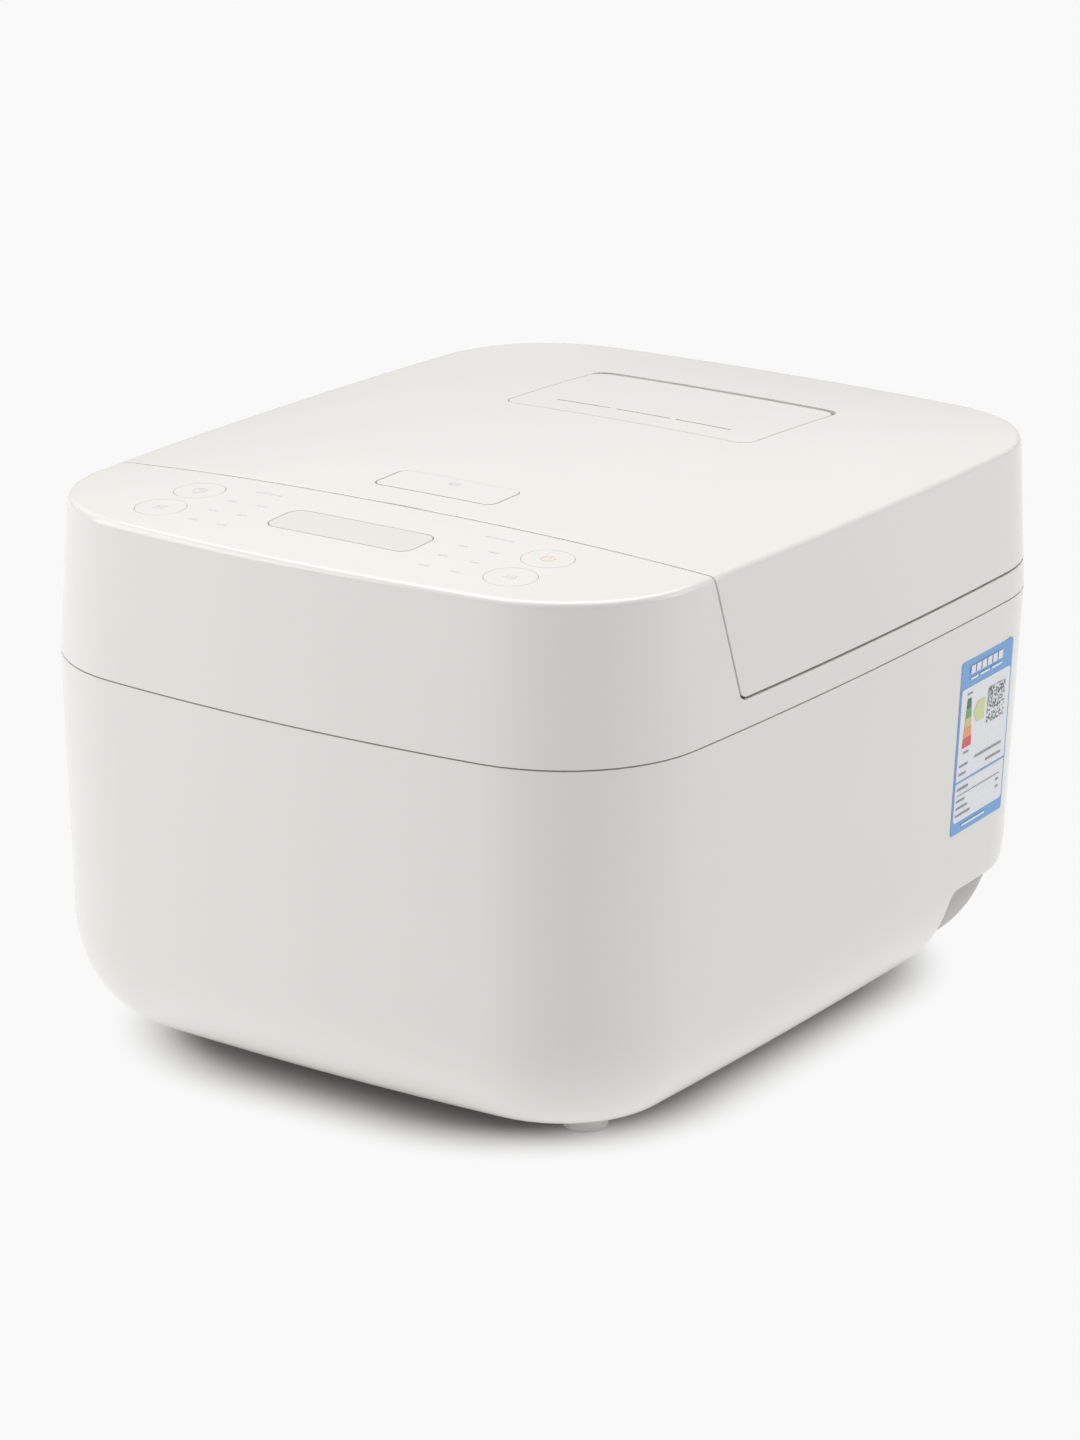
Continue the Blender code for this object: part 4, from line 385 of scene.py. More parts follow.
def rounding_ring(inset, angle):
    """A level in the rounding under the walls, from 0 degrees at its top to 90 on the underside."""
    share = 1 - math.cos(math.radians(angle))
    top_z = underside_z + rounding_height
    inwards = lean * (seam_z - top_z) + inset
    flatter = 1 - 0.52 * share
    outline = bulged_outline(half_width - inwards - (rounding_side - inset) * share,
                             half_depth - inwards - (rounding_end - inset) * share,
                             (front_radius - inwards) / flatter, (rear_radius - inwards) / flatter,
                             (side_radius - inwards) / flatter,
                             (front_corner - inwards) * (1 - share) + underside_corner * share,
                             (rear_corner - inwards) * (1 - share) + underside_corner * share)
    z = top_z - (rounding_height - inset) * math.sin(math.radians(angle))
    return [(x, y, z) for x, y in outline]


def wall_ring(inset, z):
    return [(x, y, z) for x, y in level_outline(inset + lean * (seam_z - z))]


under_angles = [90 - 90 * i / 18 for i in range(19)]
wall_levels = [underside_z + rounding_height + mm(step) for step in (24, 48, 72)] + [seam_z]
outer_body = skin("outer_body_shell", [rounding_ring(0, a) for a in under_angles]
                  + [wall_ring(0, z) for z in wall_levels] + [wall_ring(wall, z) for z in wall_levels[::-1]]
                  + [rounding_ring(wall, a) for a in under_angles[::-1]], closed=True)
cutaway_top_y, cutaway_foot_y = mm(78.6), mm(74)
cutaway_top, cutaway_round = underside_z + mm(30.4), mm(5)
cutaway = [*arc((cutaway_top_y + cutaway_round, cutaway_top - cutaway_round), cutaway_round, 90, 180),
           (cutaway_foot_y, underside_z), (cutaway_foot_y, -1), (1, -1), (1, cutaway_top)]
cut(outer_body, profile_block("cutaway", cutaway, 1))
soften(outer_body, mm(0.25))
inlet_low, inlet_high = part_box("inlet_socket")
inlet_hole_side, inlet_hole_end = mm(2.6), mm(3)
cut(outer_body, block("inlet_hole", (inlet_low.x + inlet_hole_side, mm(130), inlet_low.z + inlet_hole_end),
                      (inlet_high.x - inlet_hole_side, mm(170), inlet_high.z - inlet_hole_end)))
post_radius, post_foot, post_length = mm(4.5), mm(10.4), mm(49.6)
post_bore, post_bore_depth = mm(1.8), mm(20)
corners = ("front_left", "front_right", "rear_left", "rear_right")
for corner in corners:
    x, y, _ = middle_of(f"base_screw_{corner}")
    post = cut(rod(f"post_{corner}", post_radius, (x, y, post_foot), post_length, sides=32),
               rod("post_bore", post_bore, (x, y, 0), post_bore_depth, sides=24))
    dress(post, white_gloss_abs, "cooker_body", slot="white_gloss_plastic")
dress(outer_body, white_gloss_abs, "cooker_body", nodes=["outer_body"])


# ---------------------------------------------------------------- control housing
# The ring over the body: a low strip round the lid and a full-height front with the panel, one ABS
# moulding. A wall behind the panel shuts off the board, and carries the catch for the lid's hook.
upper_height, upper_lean = mm(55.9), mm(3.2)
crown, crown_shape = mm(5.2), 1.18
droop_side, droop_end = mm(0.5), mm(0.7)
rim_round = mm(2.0)
rim_z = seam_z + upper_height
housing_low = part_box("control_housing")[0].z


def upper_inset(z):
    return upper_lean * (z - seam_z) / upper_height


def top_height(x, y):
    """Height of the crowned top over a place."""
    across = (x / (half_width - upper_lean)) ** 2
    along = (y / (half_depth - upper_lean)) ** 2
    rise = max(1 - across ** crown_shape, 0) * max(1 - along ** crown_shape, 0)
    return rim_z - droop_side * across - droop_end * along + crown * rise


def upper_form(name, inset, low_z):
    """The whole upper shape from a level up, solid, moved in by an amount all round."""
    shoulder_z = rim_z - rim_round - droop_end - inset
    rings = [[(x, y, z) for x, y in level_outline(inset + upper_inset(z))]
             for z in (low_z + (shoulder_z - low_z) * i / 4 for i in range(5))]
    radius = max(rim_round - inset / 2, mm(0.8))
    for angle in (18, 36, 54, 72, 90):
        reach = radius * (1 - math.cos(math.radians(angle)))
        drop = radius * (1 - math.sin(math.radians(angle))) + inset
        rings.append([(x, y, top_height(x, y) - drop) for x, y in level_outline(inset + upper_lean + reach)])
    edge = level_outline(inset + upper_lean + radius)
    for scale in (0.975, 0.94, 0.89, 0.83, 0.76, 0.68, 0.59, 0.49, 0.38, 0.27, 0.16, 0.07):
        rings.append([(x * scale, y * scale, top_height(x * scale, y * scale) - inset) for x, y in edge])
    return skin(name, rings, peak=(0, 0, top_height(0, 0) - inset))


split_top_y, split_lean = mm(-92.0), 0.3086
lid_edge_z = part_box("lid_cover")[0].z
split_gap = mm(0.8)


def split_y(z, shift):
    """How far forward the shut line in front of the lid is at a height."""
    return split_top_y + split_lean * (rim_z - z) + shift


_, hinge_y, hinge_z = middle_of("hinge_pin")
lid_corner = mm(4)


def lid_region(name, shift, edge_z, round_rear):
    """All that belongs to the lid, seen from the side, across the whole width."""
    slant = math.atan(split_lean)
    reach = lid_corner * math.tan((math.pi / 2 - slant) / 2)
    centre = split_y(edge_z, shift) + reach, edge_z + lid_corner
    points = arc(centre, lid_corner, 180 + math.degrees(slant), 270, 10)
    if round_rear:
        radius = hinge_z - edge_z
        points += arc((hinge_y, hinge_z), radius, 270, 360, 16) + [(hinge_y + radius, 1)]
    else:
        points += [(1, edge_z), (1, 1)]
    points.append((split_y(1, shift), 1))
    return profile_block(name, points, 1)


def rounded_outline(low_x, high_x, low_y, high_y, radius, steps=8):
    """A rectangle with rounded corners."""
    return (arc((high_x - radius, low_y + radius), radius, -90, 0, steps)
            + arc((high_x - radius, high_y - radius), radius, 0, 90, steps)
            + arc((low_x + radius, high_y - radius), radius, 90, 180, steps)
            + arc((low_x + radius, low_y + radius), radius, 180, 270, steps))


def rounded_block(name, low_x, high_x, low_y, high_y, radius, low_z, high_z):
    """A rectangle with rounded corners, straight up and down."""
    outline = rounded_outline(low_x, high_x, low_y, high_y, radius)
    return skin(name, [[(x, y, z) for x, y in outline] for z in (low_z, high_z)])


housing = cut(upper_form("control_housing_shell", 0, housing_low),
              lid_region("lid_space", 0, lid_edge_z - split_gap, False))
panel_foot = housing_low - 2 * wall
panel_wall = [(split_y(panel_foot, 0), panel_foot), (split_y(1, 0), 1),
              (split_y(1, -wall), 1), (split_y(panel_foot, -wall), panel_foot)]
housing_hollow = upper_form("housing_hollow", wall, housing_low - wall)
cut(housing, cut(housing_hollow, profile_block("panel_wall", panel_wall, 1)))
hook_low, hook_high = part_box("latch_hook")
catch_y, catch_foot, catch_top = mm(-74.6), hook_low.z + mm(2.4), hook_low.z + mm(4.6)
catch = block("catch", (hook_low.x, catch_y - wall, catch_foot), (hook_high.x, catch_y, catch_top))
cut(housing, catch, how="UNION")
soften(housing, mm(0.25))

under_top, over_top = rim_z - mm(8), rim_z + mm(12)
key_places = {name: middle_of(f"key_{name}").xy for name in ("timer", "menu", "start", "warm")}
key_radius = mm(9)
for x, y in key_places.values():
    cut(housing, rod("key_hole", key_radius, (x, y, under_top), mm(20), sides=64))
window_low, window_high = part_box("display_window")
window_fit, window_corner = mm(0.3), mm(5)
cut(housing, rounded_block("window_hole", window_low.x - window_fit, window_high.x + window_fit,
                           window_low.y - window_fit, window_high.y + window_fit, window_corner,
                           under_top, over_top))
dress(housing, white_gloss_abs, "cooker_body", nodes=["control_housing"])


# ---------------------------------------------------------------- keys
# Four round caps in the same gloss ABS, flush with the panel and following its crown. Each is held
# from below and presses its own switch, so only a hair line shows round it.
key_fit = mm(0.16)
for key_name, (x, y) in key_places.items():
    low_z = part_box(f"key_{key_name}")[0].z
    cap = cut(rod(f"key_{key_name}_cap", key_radius - key_fit, (x, y, low_z), mm(12), sides=64),
              upper_form("panel_form", 0, housing_low), how="INTERSECT")
    dress(cap, white_gloss_abs, f"{key_name}_key", nodes=[f"key_{key_name}"])


# ---------------------------------------------------------------- display window
# A milky polycarbonate lens let into the panel. The display behind it is off, so it looks like the
# panel itself, a trace cooler and glossier, inside a hair line.
milky_polycarbonate = moulded_plastic("milky_polycarbonate", "#e2e0da", "#e0ded8", 0.10, 3.0, 0.0006, 1.52)
lens_fit = mm(0.1)
window = rounded_block("display_window_lens", window_low.x + lens_fit, window_high.x - lens_fit,
                       window_low.y + lens_fit, window_high.y - lens_fit, window_corner - window_fit,
                       window_low.z, over_top)
cut(window, upper_form("panel_form", 0, housing_low), how="INTERSECT")
dress(window, milky_polycarbonate, "cooker_body", nodes=["display_window"])


# ---------------------------------------------------------------- printing on the panel
# Pale grey pad printing: a symbol on each key, rows of short dashes that light up beside the window,
# and a longer dash over each row. The start key's symbol is a washed-out red.
def pad_printing(name, colour):
    """Thin ink, matt against the gloss, with a slight unevenness of cover about 0.8 mm across."""
    material, place = new_material(name)
    cover = add_node(material, "ShaderNodeTexNoise", {"Vector": place, "Scale": 1 / mm(0.8), "Detail": 2.0})
    tint = add_node(material, "ShaderNodeMix", {0: cover.outputs[0], 6: linear(colour), 7: linear("#e4e3e0")},
                    data_type="RGBA")
    shader = add_node(material, "ShaderNodeBsdfPrincipled",
                      {"Base Color": tint.outputs[2], "Roughness": 0.35})
    return finish_material(material, shader)


grey_printing = pad_printing("pale_grey_pad_printing", "#b4b5b8")
red_printing = pad_printing("pale_red_pad_printing", "#e88a7c")


def printed(name, shapes, material, body):
    """Flat closed outlines laid on the crowned top as a film of ink 0.05 mm proud."""
    work = bmesh.new()
    for outline in shapes:
        rows = [[work.verts.new((x, y, top_height(x, y) + rise)) for x, y in outline]
                for rise in (mm(-0.2), mm(0.05))]
        work.faces.new(rows[0][::-1])
        work.faces.new(rows[1])
        for i in range(len(outline)):
            j = (i + 1) % len(outline)
            work.faces.new((rows[0][i], rows[0][j], rows[1][j], rows[1][i]))
    return dress(from_bmesh(name, work), material, body, slot="white_gloss_plastic")


def dash(x, y, length, width, angle=0):
    """A short printed line about a middle, as an outline."""
    along = Vector((math.cos(math.radians(angle)), math.sin(math.radians(angle)))) * length / 2
    aside = Vector((-along.y, along.x)).normalized() * width / 2
    middle = Vector((x, y))
    return [tuple(middle + along * a + aside * b) for a, b in ((-1, -1), (1, -1), (1, 1), (-1, 1))]


def ring_dashes(x, y, radius, width, start=0, end=360, count=16):
    """A circle or part of one, as short dashes that meet."""
    step = (end - start) / count
    length = 2 * radius * math.sin(math.radians(step) / 2) * 1.02
    dashes = []
    for i in range(count):
        turned = start + step * (i + 0.5)
        along = math.radians(turned)
        dashes.append(dash(x + radius * math.cos(along), y + radius * math.sin(along),
                           length, width, turned + 90))
    return dashes


stroke = mm(0.45)


def timer_symbol(x, y):
    """A clock face with two hands."""
    return ring_dashes(x, y, mm(2.3), stroke) + [dash(x, y + mm(0.7), mm(1.4), stroke, 90),
                                                 dash(x + mm(0.6), y, mm(1.2), stroke)]


def menu_symbol(x, y):
    """Three lines."""
    return [dash(x, y + mm(step), mm(4.4), stroke) for step in (-1.5, 0, 1.5)]


def start_symbol(x, y):
    """A ring open at the top, with a stroke in the opening."""
    return ring_dashes(x, y, mm(2.3), stroke, 120, 420) + [dash(x, y + mm(1.9), mm(2.2), stroke, 90)]


def warm_symbol(x, y):
    """Three bent strokes that rise side by side."""
    return [dash(x + mm(side), y + mm(step), mm(1.7), stroke, 90 + tilt)
            for side in (-1.6, 0, 1.6) for step, tilt in ((-0.8, -22), (0.8, 22))]


symbols = {"timer": timer_symbol, "menu": menu_symbol, "start": start_symbol, "warm": warm_symbol}
for key_name, (x, y) in key_places.items():
    ink = red_printing if key_name == "start" else grey_printing
    printed(f"key_{key_name}_symbol", symbols[key_name](x, y), ink, f"{key_name}_key")
mark_rows, mark_columns = (-116.8, -128.1, -139.0), (53.4, 41.1)
heading_row, heading_middle, heading_steps = mm(-104.3), mm(47.5), (-4.5, -1.5, 1.5, 4.5)
marks = [dash(side * mm(column), mm(row), mm(3.6), mm(0.9))
         for side in (-1, 1) for column in mark_columns for row in mark_rows]
marks += [dash(side * heading_middle + mm(step), heading_row, mm(2.0), mm(1.1))
          for side in (-1, 1) for step in heading_steps]
printed("panel_marks", marks, grey_printing, "cooker_body")


# ---------------------------------------------------------------- lid cover
# The lid's outer moulding, the same gloss ABS. It has its own front wall along the slanted shut line,
# an opening for the steam vent, a slit flap, and a notch at the back that clears the hinge barrel.
vent_low, vent_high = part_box("steam_vent_cap")
vent_fit = mm(0.4)
vent_side, vent_front = vent_high.x + vent_fit, vent_low.y - vent_fit
vent_rear, vent_corner = mm(109.0), mm(6)
flap_low, flap_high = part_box("lid_release_flap")
flap_fit, flap_corner = mm(0.5), mm(4)
flap_hinge = next(joint for joint in frame["joints"] if joint["name"] == "flap_press")
_, flap_rear, flap_pivot_z = flap_hinge["pos_m"]
barrel_low, barrel_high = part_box("hinge_barrel")
barrel_radius, barrel_clearance = barrel_high.y - hinge_y, mm(0.9)

lid_cover = cut(upper_form("lid_cover_shell", 0, housing_low),
                lid_region("lid_block", split_gap, lid_edge_z, True), how="INTERSECT")
lid_front = [(split_y(0, split_gap + wall), 0), (1, 0), (1, 1), (split_y(1, split_gap + wall), 1)]
cut(lid_cover, cut(upper_form("lid_hollow", wall, housing_low - wall),
                   profile_block("lid_front", lid_front, 1), how="INTERSECT"))
notch_radius, notch_half = barrel_radius + barrel_clearance, barrel_high.x + 2 * barrel_clearance
barrel_notch = [(hinge_y - notch_radius, 0), (1, 0), (1, hinge_z),
                *arc((hinge_y, hinge_z), notch_radius, 0, 180, 16)]
cut(lid_cover, profile_block("barrel_notch", barrel_notch, notch_half))
soften(lid_cover, mm(0.35))
opening_foot = rim_z - mm(10)
cut(lid_cover, rounded_block("vent_opening", -vent_side, vent_side, vent_front, vent_rear, vent_corner,
                             opening_foot, over_top))
cut(lid_cover, rounded_block("flap_opening", flap_low.x - flap_fit, flap_high.x + flap_fit,
                             flap_low.y - flap_fit, flap_rear, flap_corner, opening_foot, over_top))
dress(lid_cover, white_gloss_abs, "lid", nodes=["lid_cover"])


# ---------------------------------------------------------------- lid release flap
# A tongue of the lid in gloss ABS, slit round the front and hinged along its rear edge. Pressing its
# front turns the latch hook, and a small printed box shows where to press.
tongue_fit, tongue_rear_fit, tongue_corner = mm(0.1), mm(0.12), flap_corner - mm(0.6)
flap = rounded_block("release_flap_tongue", flap_low.x + tongue_fit, flap_high.x - tongue_fit,
                     flap_low.y + tongue_fit, flap_rear - tongue_rear_fit, tongue_corner,
                     flap_pivot_z - mm(1.2), over_top)
cut(flap, upper_form("lid_form", 0, housing_low), how="INTERSECT")
rib_foot = hook_high.z + mm(0.3)
cut(flap, block("flap_rib", (-mm(6), mm(-75), rib_foot), (mm(6), mm(-73), flap_pivot_z)), how="UNION")
dress(flap, white_gloss_abs, "release_flap", nodes=["lid_release_flap"])
symbol_y, symbol_half, symbol_stroke = mm(-62.5), mm(1.1), mm(0.5)
printed("flap_symbol", [dash(0, symbol_y - symbol_half, mm(3.6), symbol_stroke),
                        dash(0, symbol_y + symbol_half, mm(3.6), symbol_stroke),
                        dash(mm(-1.6), symbol_y, 2 * symbol_half, symbol_stroke, 90),
                        dash(mm(1.6), symbol_y, 2 * symbol_half, symbol_stroke, 90)],
        grey_printing, "release_flap")


# ---------------------------------------------------------------- steam vent cap
# A shallow lift-off cap in gloss ABS, flush with the lid. Three hair-thin slits near its front let the
# steam out, and a finger slot is left free behind it.
cap_rear, cap_corner, cap_wall = vent_high.y, vent_corner - vent_fit, mm(2)
cap = rounded_block("steam_vent_cover", vent_low.x, vent_high.x, vent_low.y, cap_rear, cap_corner,
                    vent_low.z, over_top)
cut(cap, upper_form("lid_form", 0, housing_low), how="INTERSECT")
cut(cap, rounded_block("cap_hollow", vent_low.x + cap_wall, vent_high.x - cap_wall, vent_low.y + cap_wall,
                       cap_rear - cap_wall, cap_corner - cap_wall, vent_low.z - wall,
                       top_height(vent_high.x, cap_rear) - cap_wall))
slit_step, slit_half, slit_front, slit_rear = mm(25.5), mm(11.5), mm(56.1), mm(57.1)
for column in (-1, 0, 1):
    middle = column * slit_step
    cut(cap, block("steam_slit", (middle - slit_half, slit_front, vent_low.z),
                   (middle + slit_half, slit_rear, over_top)))
dress(cap, white_gloss_abs, "vent_cap", nodes=["steam_vent_cap"])


# ---------------------------------------------------------------- base cover
# The tray that closes the bottom, injection-moulded polypropylene in a light grey: softer and duller
# than the ABS, with the fine spark texture of its tool. It shows in the cut-away at the rear.
light_grey_polypropylene = moulded_plastic("light_grey_polypropylene", "#b2afab", "#adaaa6", 0.42, 0.6, 0.010,
                                           1.49)
base_low, base_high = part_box("base_cover")
base_inset, tray_wall = mm(3.5), mm(2.0)
rim_drop = math.degrees(math.asin((underside_z + rounding_height - base_high.z)
                                  / (rounding_height - base_inset)))


def drawn_in(ring, amount, z):
    """A level's outline drawn in towards the middle, at another height."""
    across = 1 - amount / max(x for x, _, _ in ring)
    along = 1 - amount / max(y for _, y, _ in ring)
    return [(x * across, y * along, z) for x, y, _ in ring]


flat_ring = rounding_ring(0, 90)
tray_angles = [74 - (74 - rim_drop) * i / 12 for i in range(13)]
edge_in, inside_in, inside_round = mm(0.5), mm(2.5), mm(5.5)
tray_rings = [drawn_in(flat_ring, mm(0.9), underside_z), drawn_in(flat_ring, edge_in, underside_z + mm(0.4)),
              drawn_in(flat_ring, edge_in, underside_z + base_inset)]
tray_rings += [rounding_ring(base_inset, angle) for angle in tray_angles]
tray_rings += [rounding_ring(base_inset + tray_wall, angle) for angle in tray_angles[::-1]]
tray_rings += [drawn_in(flat_ring, inside_in, underside_z + inside_round),
               drawn_in(flat_ring, inside_in, underside_z + wall)]
tray = skin("base_cover_tray", tray_rings)
slot_rows, slot_front, slot_step, slot_width = 5, mm(-45), mm(9), mm(3)
slot_middle, slot_reach, slot_corner = mm(30), mm(15), mm(1.4)
for row in range(slot_rows):
    y = slot_front + slot_step * row
    for side in (-1, 1):
        cut(tray, rounded_block("air_slot", side * slot_middle - slot_reach, side * slot_middle + slot_reach,
                                y, y + slot_width, slot_corner, 0, underside_z + mm(4)))
sink_radius, sink_depth, screw_way = mm(3.3), mm(1.25), mm(1.8)
for corner in corners:
    x, y, _ = middle_of(f"base_screw_{corner}")
    cut(tray, rod("screw_sink", sink_radius, (x, y, 0), underside_z + sink_depth),
        rod("screw_way", screw_way, (x, y, 0), mm(20)))
dress(tray, light_grey_polypropylene, "cooker_body", nodes=["base_cover"])


# ---------------------------------------------------------------- feet
# Four round feet pushed into the tray, moulded thermoplastic rubber in off-white. Their faces are
# turned in slightly at the rim, and the rubber is dull, with a grain of about 0.5 mm.
def spun(name, profile, centre, steps=96):
    """A round piece from (radius, height) points: out along the underside, up the outside and back inside."""
    turns = [2 * math.pi * i / steps for i in range(steps)]
    rings = [[(centre[0] + radius * math.cos(t), centre[1] + radius * math.sin(t), height) for t in turns]
             for radius, height in profile]
    return skin(name, rings, closed=profile[0][0] > axis_hole)


axis_hole = mm(0.01)            # a solid round piece starts this far from its axis
off_white_rubber = moulded_plastic("off_white_thermoplastic_rubber", "#d9d7d2", "#d3d1cc",
                                   0.62, 0.5, 0.012, 1.5)
foot_rim, foot_dish, foot_land = mm(1.2), mm(0.6), mm(3.4)
for corner in corners:
    low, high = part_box(f"foot_{corner}")
    radius, top = (high.x - low.x) / 2, high.z
    profile = [(axis_hole, foot_dish), (radius - mm(4), foot_dish), (radius - foot_land, 0),
               (radius - foot_rim, 0)]
    profile += [(radius - foot_rim + foot_rim * math.sin(math.radians(a)),
                 foot_rim - foot_rim * math.cos(math.radians(a))) for a in (20, 45, 70, 90)]
    profile += [(radius, top - mm(0.4)), (radius - mm(0.4), top), (axis_hole, top)]
    dress(spun(f"foot_{corner}_pad", profile, middle_of(f"foot_{corner}")), off_white_rubber, "cooker_body",
          nodes=[f"foot_{corner}"])


# ---------------------------------------------------------------- base screws and other plated steel
# Cold-headed steel screws with a bright zinc plating, a cross recess in each head. The same plating is
# on the hinge pin, arms, springs, brackets and the pressed heat shield: pale, cool and softly mottled.
def metal(name, colour, shade, roughness, grain, depth):
    """A metal in two near tones, mottled about 12 mm across, with a fine grain in its gloss and relief."""
    material, place = new_material(name)
    mottle = add_node(material, "ShaderNodeTexNoise", {"Vector": place, "Scale": 1 / mm(12), "Detail": 3.0})
    tint = add_node(material, "ShaderNodeMix", {0: mottle.outputs[0], 6: linear(colour), 7: linear(shade)},
                    data_type="RGBA")
    lines = add_node(material, "ShaderNodeTexNoise", {"Vector": place, "Scale": 1 / mm(grain), "Detail": 2.0})
    dull = add_node(material, "ShaderNodeMapRange",
                    {"Value": lines.outputs[0], "From Min": 0.3, "From Max": 0.7,
                     "To Min": roughness * 0.8, "To Max": roughness * 1.25})
    relief = add_node(material, "ShaderNodeBump",
                      {"Height": lines.outputs[0], "Strength": 1.0, "Distance": mm(depth)})
    shader = add_node(material, "ShaderNodeBsdfPrincipled",
                      {"Base Color": tint.outputs[2], "Metallic": 1.0, "Roughness": dull.outputs[0],
                       "Normal": relief.outputs[0]})
    return finish_material(material, shader)


zinc_plated_steel = metal("zinc_plated_steel", "#c9cbce", "#b9bcc0", 0.32, 0.8, 0.004)
head_chamfer, head_height, shank, point = mm(0.35), mm(0.7), mm(1.5), mm(2)
cross_long, cross_short, cross_depth = mm(1.7), mm(0.35), mm(0.5)
for corner in corners:
    low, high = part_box(f"base_screw_{corner}")
    x, y, _ = middle_of(f"base_screw_{corner}")
    radius = (high.x - low.x) / 2
    profile = [(axis_hole, low.z), (radius * 0.7, low.z), (radius, low.z + head_chamfer),
               (radius, low.z + head_height), (shank, low.z + head_height + mm(0.05)), (shank, high.z - point),
               (mm(0.3), high.z), (axis_hole, high.z)]
    screw = spun(f"base_screw_{corner}_plated", profile, (x, y), steps=48)
    for a, b in ((cross_long, cross_short), (cross_short, cross_long)):
        cut(screw, block("cross", (x - a, y - b, 0), (x + a, y + b, low.z + cross_depth)))
    dress(screw, zinc_plated_steel, "cooker_body", nodes=[f"base_screw_{corner}"])


# ---------------------------------------------------------------- deck, hinge barrel and lid lining
# The white parts seen with the lid open: polypropylene, which takes the steam, with a satin spark
# texture about 0.5 mm across. The deck carries the pot's flange round a large hole.
white_polypropylene = moulded_plastic("white_satin_polypropylene", "#e4e3df", "#dfded9",
                                      0.38, 0.5, 0.009, 1.49)
fit_inside = wall + mm(0.4)
slot_half, slot_rear = mm(9.6), mm(-65)


def inside_plate(name, low_z, high_z):
    """A flat plate that fills the upper shell from wall to wall."""
    return skin(name, [[(x, y, z) for x, y in level_outline(fit_inside + upper_inset(z))]
                       for z in (low_z, high_z)])


deck_low, deck_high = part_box("deck_plate")
pot_low, pot_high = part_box("inner_pot")
pot_x, pot_y, _ = middle_of("inner_pot")
pot_rim = (pot_high.x - pot_low.x) / 2
pot_radius, deck_room = pot_rim - mm(6), mm(3.5)
deck = inside_plate("deck_plate_moulding", deck_low.z, deck_high.z)
cut(deck, block("deck_front", (-1, -1, 0), (1, deck_low.y, 1)),
    rod("deck_hole", pot_radius + deck_room, (pot_x, pot_y, 0), 1, sides=144),
    rounded_block("hook_slot", -slot_half, slot_half, -1, slot_rear, mm(1.5), 0, 1))
soften(deck, mm(0.4))
dress(deck, white_polypropylene, "cooker_body", nodes=["deck_plate"])

lining_low, lining_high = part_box("lid_lining")
lining_top = lining_low.z + mm(2.2)
lining = inside_plate("lid_lining_moulding", lining_low.z, lining_top)
lining_shift = split_gap + fit_inside
lining_edge = [(-1, 0), (split_y(0, lining_shift), 0), (split_y(1, lining_shift), 1), (-1, 1)]
tube_y, tube_radius = mm(76), mm(9)
cut(lining, profile_block("lining_front", lining_edge, 1),
    block("lining_rear", (-1, lining_high.y, 0), (1, 1, 1)),
    rounded_block("hook_slot", -slot_half, slot_half, mm(-73.1), slot_rear, mm(1.0), 0, lining_top + mm(2)),
    rod("steam_way", tube_radius + mm(0.3), (0, tube_y, 0), 1, sides=64))
soften(lining, mm(0.5))
_, pin_y, pin_z = middle_of("latch_pin")
ear_inner, ear_outer, ear_half, ear_over_pin = mm(14), mm(16.5), mm(4.5), mm(4)
for side in (-1, 1):
    near, far = sorted((side * ear_inner, side * ear_outer))
    cut(lining, block("latch_ear", (near, pin_y - ear_half, lining_top - mm(1)),
                      (far, pin_y + ear_half, pin_z + ear_over_pin)), how="UNION")
cut(lining, rod("pin_way", mm(1.7), (-mm(18), pin_y, pin_z), mm(36), axis="X"))
dress(lining, white_polypropylene, "lid", nodes=["lid_lining"])


# ---------------------------------------------------------------- inner pot
# Spun aluminium, 2 mm thick, with a rolled flange, sprayed inside and out with a dark grey PTFE
# coating that is baked on: nearly black, soft in gloss, with a fine pale fleck.
ptfe, ptfe_place = new_material("baked_ptfe_coating")
fleck = add_node(ptfe, "ShaderNodeTexVoronoi", {"Vector": ptfe_place, "Scale": 1 / mm(1.6)})
fleck_share = add_node(ptfe, "ShaderNodeMapRange",
                       {"Value": fleck.outputs["Distance"], "From Min": 0.10, "From Max": 0.22,
                        "To Min": 0.45, "To Max": 0.0})
ptfe_tint = add_node(ptfe, "ShaderNodeMix",
                     {0: fleck_share.outputs[0], 6: linear("#35363a"), 7: linear("#8d8e92")}, data_type="RGBA")
spray = add_node(ptfe, "ShaderNodeTexNoise", {"Vector": ptfe_place, "Scale": 1 / mm(0.7), "Detail": 2.0})
ptfe_relief = add_node(ptfe, "ShaderNodeBump",
                       {"Height": spray.outputs[0], "Strength": 1.0, "Distance": mm(0.008)})
finish_material(ptfe, add_node(ptfe, "ShaderNodeBsdfPrincipled",
                               {"Base Color": ptfe_tint.outputs[2], "Roughness": 0.36,
                                "Normal": ptfe_relief.outputs[0], "IOR": 1.38}))
pot_wall, pot_corner, pot_lip, pot_mouth = mm(2), mm(22), mm(1.5), mm(1.3)
inner_radius = pot_radius - pot_wall
corner_centre = pot_radius - pot_corner, pot_low.z + pot_corner
outside = arc(corner_centre, pot_corner, -90, 0, 14)
inside = arc(corner_centre, pot_corner - pot_wall, 0, -90, 14)
rolled = arc((pot_rim - pot_lip / 2, pot_high.z - pot_lip / 2), pot_lip / 2, -90, 90, 6)
profile = [(axis_hole, pot_low.z), *outside, (pot_radius, pot_high.z - pot_lip), *rolled,
           (inner_radius + mm(1.2), pot_high.z), (inner_radius + mm(0.3), pot_high.z - mm(0.4)),
           (inner_radius, pot_high.z - pot_mouth), *inside, (axis_hole, pot_low.z + pot_wall)]
inner_pot = spun("inner_pot_coated", profile, (pot_x, pot_y), steps=144)
dress(inner_pot, ptfe, "cooker_body", nodes=["inner_pot"])

